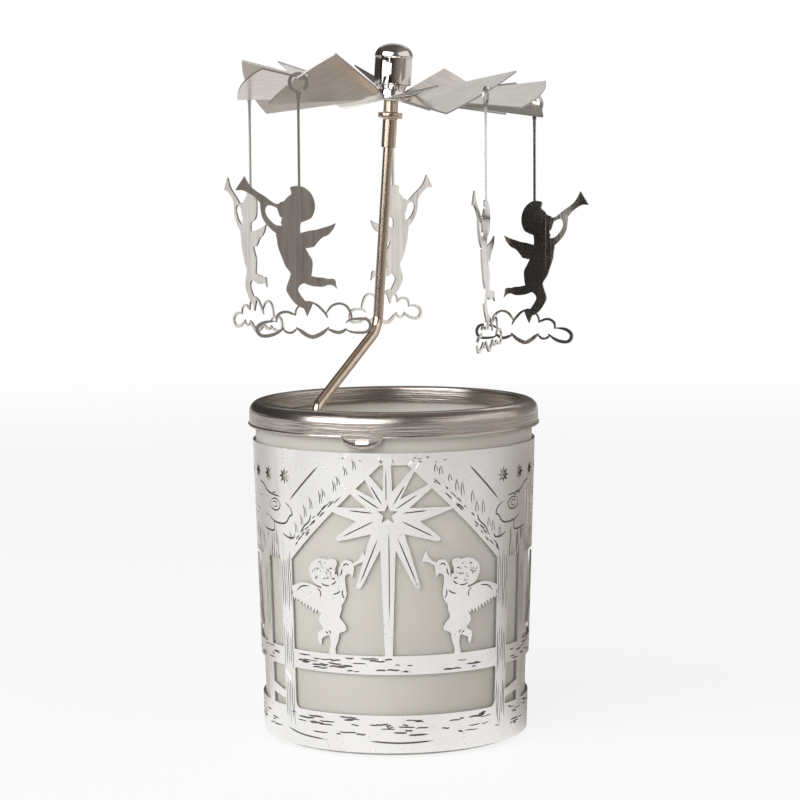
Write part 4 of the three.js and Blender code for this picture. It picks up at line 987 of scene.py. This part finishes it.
def post_grain(rng, flip):
    """Long lines side by side, with breaks between a post's knots."""
    return [stroke(upright(rng, flip * (BAY_HALF + 0.55 + k * 0.7), low + rng.uniform(0, 3),
                           high - rng.uniform(0, 3), 0.16, 5), rng.uniform(0.16, 0.28), 3)
            for k in range(5) for low, high in ((4.6, 16), (17, 29), (30.5, 46))]


def curls(rng):
    """Short curved strokes at random inside the oval of the head."""
    runs = []
    for _ in range(24):
        a, r = rng.uniform(0, 2 * math.pi), math.sqrt(rng.uniform(0.02, 0.8))
        middle = np.array([-16.9 + 2.9 * r * math.cos(a), 18.5 + 2.6 * r * math.sin(a)])
        turn = rng.uniform(0, math.pi)
        reach = np.array([math.cos(turn), math.sin(turn)]) * rng.uniform(0.2, 0.42)
        bow = np.array([-reach[1], reach[0]]) * 0.5
        runs.append([middle - reach, middle + bow, middle + reach])
    return runs


def thatch(rng, flip):
    """Dashes along the rafter, then blades of straw over it. A place is so far along and above."""
    def at(along, over):
        return [flip, 1] * (np.array([3, GABLE_TOP]) + ROOF_RUN * along + ROOF_UP * over)

    runs = []
    for _ in range(22):
        along, over, long = rng.uniform(6, 30), rng.uniform(0.7, 2.4), rng.uniform(0.8, 2.6)
        dash = [at(along, over), at(along + long / 2, over + 0.06), at(along + long, over)]
        runs.append(stroke(dash, rng.uniform(0.18, 0.38), 2))
    for along in np.arange(5, 30, 2.4):
        foot = at(along + rng.uniform(-0.6, 0.6), rng.uniform(2.9, 4.2))
        tall = rng.uniform(1.8, 3.6)
        blade = [foot, foot + [flip * -0.1, tall * 0.5], foot + [flip * 0.2, tall]]
        beside = [foot + [0.7, 0.2], foot + [0.55, tall * 0.4], foot + [0.3, tall * 0.85]]
        runs += [stroke(blade, 0.22, 3), stroke(beside, 0.16, 3)]
    return runs


def bay_strokes(x, rng):
    """Everything engraved in and round one bay, centred at x."""
    runs = []
    for deg, near, far in STAR_LINES:
        for side in (1, -1):
            ends = np.array([polar(deg, near, side), polar(deg, far, side)])
            runs.append(stroke([ends[0], ends.mean(0), ends[1]], 0.27))
    runs += [stroke(line, width) for width, line in SHAFT_LINES]
    for flip in (1, -1):
        runs += [stroke(flipped(line, flip, 0, RAIL_HIGH), 0.3, 3) for line in BLOWER_LINES]
        runs += [stroke(flipped(line, flip, 0, RAIL_HIGH), 0.17, 2) for line in curls(rng)]
        runs += [stroke(flipped(line, flip), width) for width, line in EAVES_LINES]
        runs += thatch(rng, flip) + post_grain(rng, flip)
    for plank in BAY_PLANKS:
        runs += planks(rng, *plank)
    runs += [stroke(line, width) for width, line in GROUND_LINES]
    return [(line + [x, 0], half) for line, half in runs]


def side_strokes(x, rng):
    """Everything engraved in a side stretch: straw, boards, the trunks' grain and the twigs."""
    runs = []
    for _ in range(52):
        px, top = rng.uniform(-19.5, 19.5), rng.uniform(48.6, 50.6)
        long = rng.uniform(1.6, 4.6)
        straw = [[px, top], [px + 0.12, top - long / 2], [px, top - long]]
        runs.append(stroke(straw, rng.uniform(0.2, 0.34), 2))
    for plank in SIDE_PLANKS:
        runs += planks(rng, *plank)
    trunk = SIDE_HALF - SLIT - TRUNK / 2
    for flip in (1, -1):
        for dx in (-0.8, 0, 0.8):
            grain = upright(rng, flip * trunk + dx, 25 + rng.uniform(0, 2), 42, 0.15, 6)
            runs.append(stroke(grain, 0.24, 3))
        for y, reach in FIR_TWIGS:
            twig = [[0.3, y + 1], [reach * 0.6, y + 0.3], [reach, y - 0.4]]
            runs.append(stroke(flipped(twig, flip, 0, RAIL_HIGH), 0.26, 3))
    return [(line + [x, 0], half) for line, half in runs]


# %% Sleeve
def sleeve_drawing():
    """Front and back bay with a side stretch between, from the butt joint once round to it."""
    rng = np.random.default_rng(7)
    seam = 2 * BAY_STEP - BAY_HALF - POST / 2
    left = seam - FLAT_WIDTH + 0.5
    holes, figures, last, strokes = [], [], [], []
    for x in (0, -2 * BAY_STEP):
        holes += [GABLE_WINDOW + [x, 0], LOWER_WINDOW + [x, 0]]
        figures.append(large_star() + [x, 0])
        figures += [flipped(part, flip, x, RAIL_HIGH) for flip in (1, -1) for part in BLOWER]
        last.append(star_points(x + STAR_X, STAR_Y, 5, 2.3, 0.97))
        strokes += bay_strokes(x, rng)
    for x in (-BAY_STEP, BAY_STEP):
        holes += side_drawing(x, rng)
        figures += [flipped(BRACE, flip, x - flip * SIDE_HALF) for flip in (1, -1)]
        figures.append(FIR_TREE + [x, RAIL_HIGH])
        strokes += side_strokes(x, rng)
    strokes = [(line, half) for line, half in strokes
               if line[:, 0].min() > left + 0.4 and line[:, 0].max() < seam - 0.4]
    bends = [np.array([[x, SLEEVE_BOTTOM], [x, SLEEVE_TOP]])
             for x in np.arange(left + 1.3, seam - 0.5, FLAT_WIDTH / 120)]
    metal = box_outline(left, seam, SLEEVE_BOTTOM, SLEEVE_TOP)
    return flat_sheet([metal], holes, figures, last, strokes, bends), strokes


def round_glass(x, y, z):
    """Bends the flat sheet onto the glass: x becomes the angle, z stands out from the cone."""
    return around(2 * math.pi * x / FLAT_WIDTH - math.pi / 2, sleeve_inner(y) + z, y)


drawing, sleeve_lines = sleeve_drawing()
sleeve = thick_sheet("sleeve", drawing, SLEEVE_SHEET, round_glass, sleeve_lines, GROOVE_DEPTH)
finish_piece(sleeve, "picture_sleeve", "silver_sheet", "etched_groove", "cut_edge")

# %% [markdown]
# An angel is one flat sheet: a round eye that hangs in a hole of its blade, a thin stem, a figure
# with a trumpet, and a line of cloud at its feet. The cloud is a row of puffs drawn as bands whose
# width swells from a point to the middle and back, as a brush stroke does. Five copies of one
# drawing are turned to the ways in which they hang.

# %% Angel outlines
EYE_IN, EYE_OUT, EYE_LIFT, FIGURE_DROP, ANGEL_SHEET = 1.6, 2.3, 0.4, 22.6, 0.4
PARTS = {
    "head": smooth_loop([(4.6, -4.3), (4.4, -3.6), (3.8, -3.4), (3.3, -3.2), (2.6, -2.4),
        (1.8, -1.8), (1.8, -1.2), (2, -0.5), (1.6, -0.1), (0.7, 0), (-0.1, 0), (-1.2, -0.4),
        (-2.4, -1.4), (-3.2, -2.8), (-3.5, -4.3), (-3.3, -5.8), (-2.6, -7.1), (-1.3, -7.7),
        (-0.2, -8.1), (1.2, -8.9), (4, -8.5), (3.9, -7.1), (4.4, -6.6), (4.7, -5.7), (5, -4.8)], 3),
    "body": smooth_loop([(4, -7.6), (1.2, -7.3), (-0.2, -7.6), (-0.1, -9.1), (-0.2, -10.4),
        (-0.8, -11.6), (-1.3, -13.7), (-2.1, -15.2), (-2.8, -16.5), (-2.8, -18), (-2.5, -19.9),
        (-1.9, -21.3), (-1, -21.4), (-0.1, -21.8), (0.5, -22.7), (0.2, -23.6), (-0.4, -24.5),
        (-1.1, -25.5), (-1.1, -26.9), (-0.1, -26.8), (0.9, -26.1), (2, -24.9), (2.8, -23.6),
        (3.1, -22.8), (2.9, -21.8), (2.5, -20.8), (2.1, -19.4), (2.5, -18.6), (3.3, -17.5),
        (3.8, -16.2), (4.4, -14.7), (4.9, -13.2), (5.1, -11.6), (5.3, -10.4), (4.6, -9.2),
        (4, -8.6)], 3),
    "wing": cornered([(-0.1, -10.4), (-2.1, -9.9), (-3.7, -9.7), (-5.2, -9.3), (-6.7, -8.9),
        (-8.2, -8.3)], [(-7.6, -9.6), (-6.5, -10.8), (-5, -11.5), (-3.9, -12.6), (-3.2, -13.4),
        (-2.3, -13.6), (-1.5, -13.7), (-0.1, -13.2)]),
    "leg": cornered([(-1.3, -20.3), (-2.4, -19.9), (-3.9, -20.2), (-5.2, -20.3), (-6.4, -20.6),
        (-7.5, -20.6), (-8, -21.1), (-8.1, -21.9), (-8.4, -22.9)], [(-7.7, -22.2), (-6.5, -21.9),
        (-5.1, -22.3), (-3.3, -22.2), (-2, -21.9), (-0.8, -21.4)]),
    "foot": cornered([(0.2, -26.3), (-1.1, -25.4), (-2.7, -25.8), (-2.3, -27.2), (-1.5, -28.8)],
        [(-1.1, -27.7), (-0.7, -26.8)]),
    "trumpet": cornered([(4.2, -4.8), (4.6, -3.9), (5.4, -3.8), (6.4, -3.2), (7.7, -2.2),
        (9.3, -1.2), (10.8, 0), (11.8, 1.5), (12.2, 2.3)], [(14.3, -0.8), (12.7, -0.8),
        (11.2, -1.5), (9.9, -2.4), (8.9, -3.5)], [(7.9, -4.2), (6.4, -4.2), (5.4, -4.6),
        (4.7, -5)]),
    "arm": cornered([(8.8, -3.5), (8.7, -5), (8.4, -6.6), (7.6, -8.1), (6.4, -9.4), (5.3, -10.3),
        (3.8, -10.9)], [(3.8, -8.7), (5, -8.6), (5.9, -8.1), (6.9, -7.1), (7.6, -5.8), (7.6, -4.8),
        (7.2, -4), (8, -3)]),
}
PUFFS = (
    # widest width of the line, then its points
    (0.5, [(-1.9, -25.4), (-3.7, -26.3), (-4.7, -27.2), (-5.6, -28.2), (-6.2, -29.3)]),
    (0.5, [(-5.6, -28.6), (-6.8, -26.9), (-8.1, -26.2), (-9.4, -26.2), (-10.7, -27), (-11.5, -28.7),
        (-11.7, -29.9)]),
    (0.6, [(-10.2, -30.5), (-11.2, -29.8), (-13, -29.6), (-14.8, -29.7), (-15.7, -30.5),
        (-15.8, -31.7), (-14.9, -32.6), (-13, -32.7), (-11.2, -32.4), (-10, -31.7)]),
    (0.7, [(-10.5, -31.8), (-9.1, -32.5), (-7.8, -32.4), (-5.9, -31.6)]),
    (0.85, [(-6.4, -31.3), (-5.2, -32.4), (-3.9, -33.1), (-2.6, -33.4), (-1.3, -32.9), (-0.1, -32),
        (1, -31.2)]),
    (0.5, [(0.7, -31.4), (1.9, -32.3), (3.1, -32.2), (4.1, -31.4)]),
    (0.75, [(3.6, -31.2), (5.1, -32.2), (6.7, -32.8), (8.5, -32.9), (9.5, -32.3), (9.8, -31.2),
        (9, -30.3), (7.5, -29.8), (5.2, -29.7)]),
    (0.55, [(5.4, -30), (5.3, -28.7), (4.4, -27.9), (3.1, -27.7), (1.9, -28.1), (1, -28.5)]),
    (0.35, [(1.2, -28.7), (0.9, -27.2), (0, -26.2)]),
)


def angel_drawing():
    """Outlines that overlap, from the eye's centre, with x towards the trumpet's bell."""
    down = [0, FIGURE_DROP]
    gap = np.radians(np.linspace(-88, 232, 48))
    open_ring = np.stack([np.cos(gap), np.sin(gap)], -1)
    eye = np.concatenate([EYE_OUT * open_ring, (EYE_IN * open_ring)[::-1]])
    stem = smooth_line([(0.25, -FIGURE_DROP - 1), (0.25, -12), (0.3, -4), (0.75, -1.95)], 2)
    stem = np.concatenate([stem, (stem * [-1, 1])[::-1]])
    cloud = [band(np.array(points) - down, width) for width, points in PUFFS]
    return [eye, stem, *(outline - down for outline in PARTS.values()), *cloud]


angel_flat = flat_sheet(figures=angel_drawing())
print("angel triangles", len(angel_flat[1]))

# %% [markdown]
# The rotor is one sheet with ten slits. Each blade twists about its own middle line over its first
# few millimetres, and a few were bent further by hand. It is drawn flat and each blade is bent by
# its own angle, so the round holes of the eyes and the slit ends are part of the drawing.

# %% Rotor
ROTOR_HUB, ROTOR_RADIUS, ROTOR_SHEET, BLADE_ROOT = 4.4, 35.4, 0.4, 5
ROTOR_BORE, SLIT_HALF, EYE_HOLE, EYE_HOLE_INWARD = 2.9, 0.3, 1.15, 1.5
# Twist and outward rise of each blade in degrees, from the front one round towards +X.
BLADE_TWIST = np.radians([17, 29, 18, 21, 28, 27, 27, 33, 19, 33])
BLADE_RISE = np.radians([-1, 3.7, 4.6, 2.8, 5.5, 5, 4, 0.8, 1.5, 4.7])
# Azimuth of each angel's blade, and by how much its facing turns back from it.
ANGELS = {
    "front_left": (-36, 40), "front_right": (36, 50), "right": (108, 50), "rear": (180, 42),
    "left": (-108, 43)}


def bend_blade(x, y, z):
    """A flat point of the rotor to its place in the spindle's frame. Its blade is the nearest
    multiple of 36 degrees; out and along are its coordinates on that blade. With the twist t,
    across = along cos t and height = along sin t + (out - hub) tan rise + z."""
    azimuth = np.arctan2(x, -y)
    blade = np.round(azimuth / (math.pi / 5))
    middle = blade * math.pi / 5
    r = np.hypot(x, y)
    out, along = r * np.cos(azimuth - middle), r * np.sin(azimuth - middle)
    grow = np.clip((out - ROTOR_HUB) / BLADE_ROOT, 0, 1)
    number = blade.astype(int) % 10
    twist = BLADE_TWIST[number] * grow * grow * (3 - 2 * grow)
    across = along * np.cos(twist)
    rise = np.maximum(0, out - ROTOR_HUB) * np.tan(BLADE_RISE[number])
    return np.stack([
        out * np.sin(middle) + across * np.cos(middle),
        across * np.sin(middle) - out * np.cos(middle), along * np.sin(twist) + rise + z], -1)


def on_rotor(azimuth, r):
    """Flat coordinates of a point at a radius and an azimuth from the front."""
    return np.array([r * math.sin(math.radians(azimuth)), -r * math.cos(math.radians(azimuth))])


def eye_seat(azimuth, turn):
    """An eye's centre in the lantern's frame, its hole on the flat rotor, and its facing."""
    facing = math.radians(azimuth - turn)
    along = np.array([math.sin(facing), -math.cos(facing), 0])
    flat = on_rotor(azimuth, ROTOR_RADIUS - 0.3)
    seat = on_spindle(bend_blade(*flat[:, None], ROTOR_SHEET)[0])
    return seat + [0, 0, EYE_LIFT - EYE_IN], flat - along[:2] * EYE_HOLE_INWARD, along


def circle(centre, r, count):
    """Points round a flat circle."""
    a = np.linspace(0, 2 * math.pi, count, endpoint=False)
    return centre + r * np.stack([np.cos(a), np.sin(a)], -1)


def rotor_drawing():
    """The flat disc with its bore, ten slits, five eye holes, and lines across each blade."""
    holes, bends = [circle(np.zeros(2), ROTOR_BORE, 48)], []
    inner = ROTOR_HUB + BLADE_ROOT * np.linspace(0, 1, 9)
    a = np.radians(np.linspace(90, 270, 7))[:, None]
    for k in range(10):
        out, slit = on_rotor(36 * k, 1), on_rotor(36 * k + 18, 1)
        over, beside = np.array([-out[1], out[0]]), np.array([-slit[1], slit[0]])
        round_end = slit * (ROTOR_HUB + 0.3) + SLIT_HALF * (np.cos(a) * slit + np.sin(a) * beside)
        holes.append(join(
            slit * 40 - beside * SLIT_HALF, slit * 40 + beside * SLIT_HALF, round_end))
        for r in [*inner, *np.linspace(inner[-1] + 4, ROTOR_RADIUS - 2, 6)]:
            reach = min(r * math.tan(math.pi / 10), math.sqrt(ROTOR_RADIUS ** 2 - r * r))
            bends.append(out * r + over * reach * np.linspace(-1, 1, 7)[:, None])
    holes += [circle(eye_seat(*turns)[1], EYE_HOLE, 20) for turns in ANGELS.values()]
    return flat_sheet([circle(np.zeros(2), ROTOR_RADIUS, 240)], holes, bend_lines=bends)


def hanging(centre, along):
    """A place(x, y, z) for a sheet: x along the facing, y up, and its thickness across both."""
    across = np.array([-along[1], along[0], 0])
    return lambda x, y, z: (centre + x[:, None] * along + y[:, None] * [0, 0, 1]
                            - (z[:, None] - ANGEL_SHEET / 2) * across)


for name, turns in ANGELS.items():
    centre, _, along = eye_seat(*turns)
    angel = thick_sheet(f"angel_{name}_shown", angel_flat, ANGEL_SHEET, hanging(centre, along))
    finish_piece(angel, "angel_" + name, "angel_sheet", "angel_sheet", "cut_edge")

rotor = thick_sheet(
    "rotor", rotor_drawing(), ROTOR_SHEET, lambda x, y, z: on_spindle(bend_blade(x, y, z)))
finish_piece(rotor, "rotor_blades", "rotor_sheet", "rotor_sheet", "cut_edge")

# %% [markdown]
# The hub. A drawn socket sits on the rod's tip and holds the needle. The bush turns round it and
# carries the rotor on its flange, and the domed cap over it holds the cup that rests on the needle.

# %% Hub
SOCKET_BORE, SOCKET_OUT = 1.32, 1.65
COLLAR_LOW, COLLAR_HIGH, COLLAR_R = -4.7, -3.4, 2.8
socket_profile = join(
    [SOCKET_BORE, -11.4], [SOCKET_OUT - 0.08, -11.4], [SOCKET_OUT, -11.32],
    [SOCKET_OUT, COLLAR_LOW - 0.35], arc(SOCKET_OUT + 0.3, COLLAR_LOW - 0.3, 0.3, 180, 90, 4),
    arc(COLLAR_R - 0.25, COLLAR_LOW + 0.25, 0.25, -90, 0, 4),
    arc(COLLAR_R - 0.25, COLLAR_HIGH - 0.25, 0.25, 0, 90, 4),
    arc(SOCKET_OUT + 0.25, COLLAR_HIGH + 0.25, 0.25, 270, 180, 4),
    [SOCKET_OUT, 1.42], [SOCKET_OUT - 0.08, 1.5], [SOCKET_BORE, 1.5])
needle_profile = join(
    [0, -1.3], [1.17, -1.3], [1.17, 1.9], [0.55, 2.4], [0.55, 6.5], [0.12, 8.1], [0, 8.3])
bush_profile = join(
    [2.1, -0.7], [3.25, -0.7], [3.42, -0.62], [3.5, -0.45], [3.5, -0.3], [2.6, -0.3], [2.6, 0.7],
    [3.2, 0.7], [3.12, 1.1], [3.03, 1.8], [3.12, 2.3], [3.35, 2.7], [3.35, 4.5], [2.1, 4.5])
cup_profile = join([0, 8.6], [1.2, 7.6], [3.35, 7.6], [3.35, 9.3], [0, 9.3])
CAP_RADIUS, CAP_WALL, CAP_SHOULDER, CAP_TOP, CAP_RIM = 4.25, 0.6, 9.4, 12.4, 4.37


def cap_profile():
    """Down the inside, round a rolled foot, up to a small step, and over a dome that is the
    flattened arch r = rim cos(a)^0.9, z = shoulder + (top - shoulder) sin a."""
    r, inner_r, a = CAP_RADIUS, CAP_RADIUS - CAP_WALL, np.radians(np.linspace(0, 90, 15))
    dome = np.stack([
        CAP_RIM * np.cos(a) ** 0.9, CAP_SHOULDER + (CAP_TOP - CAP_SHOULDER) * np.sin(a)], -1)
    inner = np.stack([
        inner_r * np.cos(a), CAP_SHOULDER + (CAP_TOP - CAP_WALL - CAP_SHOULDER) * np.sin(a)], -1)
    dome[-1, 0] = inner[-1, 0] = 0
    return join(
        inner[::-1], [inner_r, 3.1], [inner_r + 0.1, 2.9], arc(r - 0.3, 3.2, 0.3, -90, 0, 5),
        [r, 5.4], [r, 7.6], [r, 9.05], [r + 0.02, 9.2], [CAP_RIM - 0.03, 9.28], dome)


for name, profile, node, slot, steps in (
        ("socket", socket_profile, "bearing_socket", "nickel_rod", 64),
        ("needle", needle_profile, "pivot_needle", "needle_steel", 32),
        ("bush", bush_profile, "hub_bush", "hub_chrome", 72),
        ("cap", cap_profile(), "hub_cap", "hub_chrome", 96),
        ("cup", cup_profile, "bearing_cup", "cup_brass", 48)):
    turned_piece(name, profile, node, slot, steps, on_spindle)

# %% [markdown]
# The small things inside: a bead of weld at the rod's foot, and the tealight with its foil cup,
# wax, wick and the metal foot that holds the wick.

# %% Weld
def weld_points():
    """An egg on the rod's foot, r = 2.25 (1 + 0.05 sin 5u cos v), pressed flat on the flange."""
    u = np.linspace(0, 2 * math.pi, 48, endpoint=False)
    v = np.linspace(-math.pi / 2, math.pi / 2, 25)[:, None]
    r = 2.25 * (1 + 0.05 * np.sin(5 * u) * np.cos(v))
    points = around(u, r * np.cos(v), 1.9 * np.sin(v)) + rod_foot(FLANGE_BOTTOM + 0.72)
    flat = np.hypot(points[..., 0], points[..., 1])
    points[..., :2] *= np.minimum(1, (FLANGE_INNER - 0.32) / flat)[..., None]
    return points


grid_piece("weld", weld_points(), "rod_weld", "nickel_rod")

# %% Tealight
CUP_RADIUS, CUP_FLUTES = 19, 64
CUP_FLOOR = FLOOR + 0.3
WAX_LOW, TAB_LOW = CUP_FLOOR + 1.5, CUP_FLOOR + 0.8


def foil_cup():
    """Side fluted by fine waves that fade to the floor and the rolled edge."""
    wall = np.linspace(2, 14.8, 10)
    profile = join(
        [0, 0], [17.5, 0], arc(CUP_RADIUS - 1, 1, 1, -90, 0, 5),
        np.stack([CUP_RADIUS + 0 * wall, wall], -1), arc(CUP_RADIUS, 15.6, 0.38, -80, 180, 9),
        [18.5, 15], [18.5, 1], [18, 0.5], [0, 0.5])
    points = turned(profile, 256)
    x, y, z = points.transpose(2, 0, 1)
    fade = np.clip((z - 1) / 3, 0, 1) * np.clip((15 - z) / 2, 0, 1) * (np.hypot(x, y) > 18.8)
    points[..., :2] *= (1 - 0.006 * fade * (1 + np.sin(CUP_FLUTES * np.arctan2(y, x))))[..., None]
    return points + [0, 0, CUP_FLOOR]


def wick_points():
    """A three-strand braid, r = 0.62 + 0.07 cos(3(u - 1.6 z)), with a rounded top."""
    top = [TAB_LOW + 18.9, TAB_LOW + 19]
    z = np.concatenate([[TAB_LOW], np.linspace(TAB_LOW, TAB_LOW + 18.6, 60), top])[:, None]
    share = np.ones(z.shape)
    share[[0, -1]], share[-2] = 0, 0.6
    u = np.linspace(0, 2 * math.pi, 24, endpoint=False)
    r = (0.62 + 0.07 * np.cos(3 * (u - 1.6 * z))) * share
    return around(u, r, z)


wax_profile = [0, WAX_LOW] + join(
    [2.1, 0], [18.1, 0], [18.2, 0.1], [18.2, 12.2], arc(17.9, 12.1, 0.3, 0, 90, 3), [15, 12.2],
    [9, 12.05], [4, 12.1], [1.8, 12.4], [1, 12.5], [1, 3.1], [2.1, 3.1])
foot_profile = [0, TAB_LOW] + join(
    [1, 0], [6.4, 0], [6.5, 0.1], [6.4, 0.4], [1.9, 0.4], [1.5, 0.8], [1.45, 3.35], [1, 3.4])
grid_piece("foil_cup", foil_cup(), "tealight_cup", "candle_foil", sharp=50)
turned_piece("wax", wax_profile, "tealight_wax", "candle_wax", 96)
turned_piece("wick_foot", foot_profile, "wick_sustainer", "candle_foil", 48)
grid_piece("wick", wick_points(), "tealight_wick", "wick_cotton")
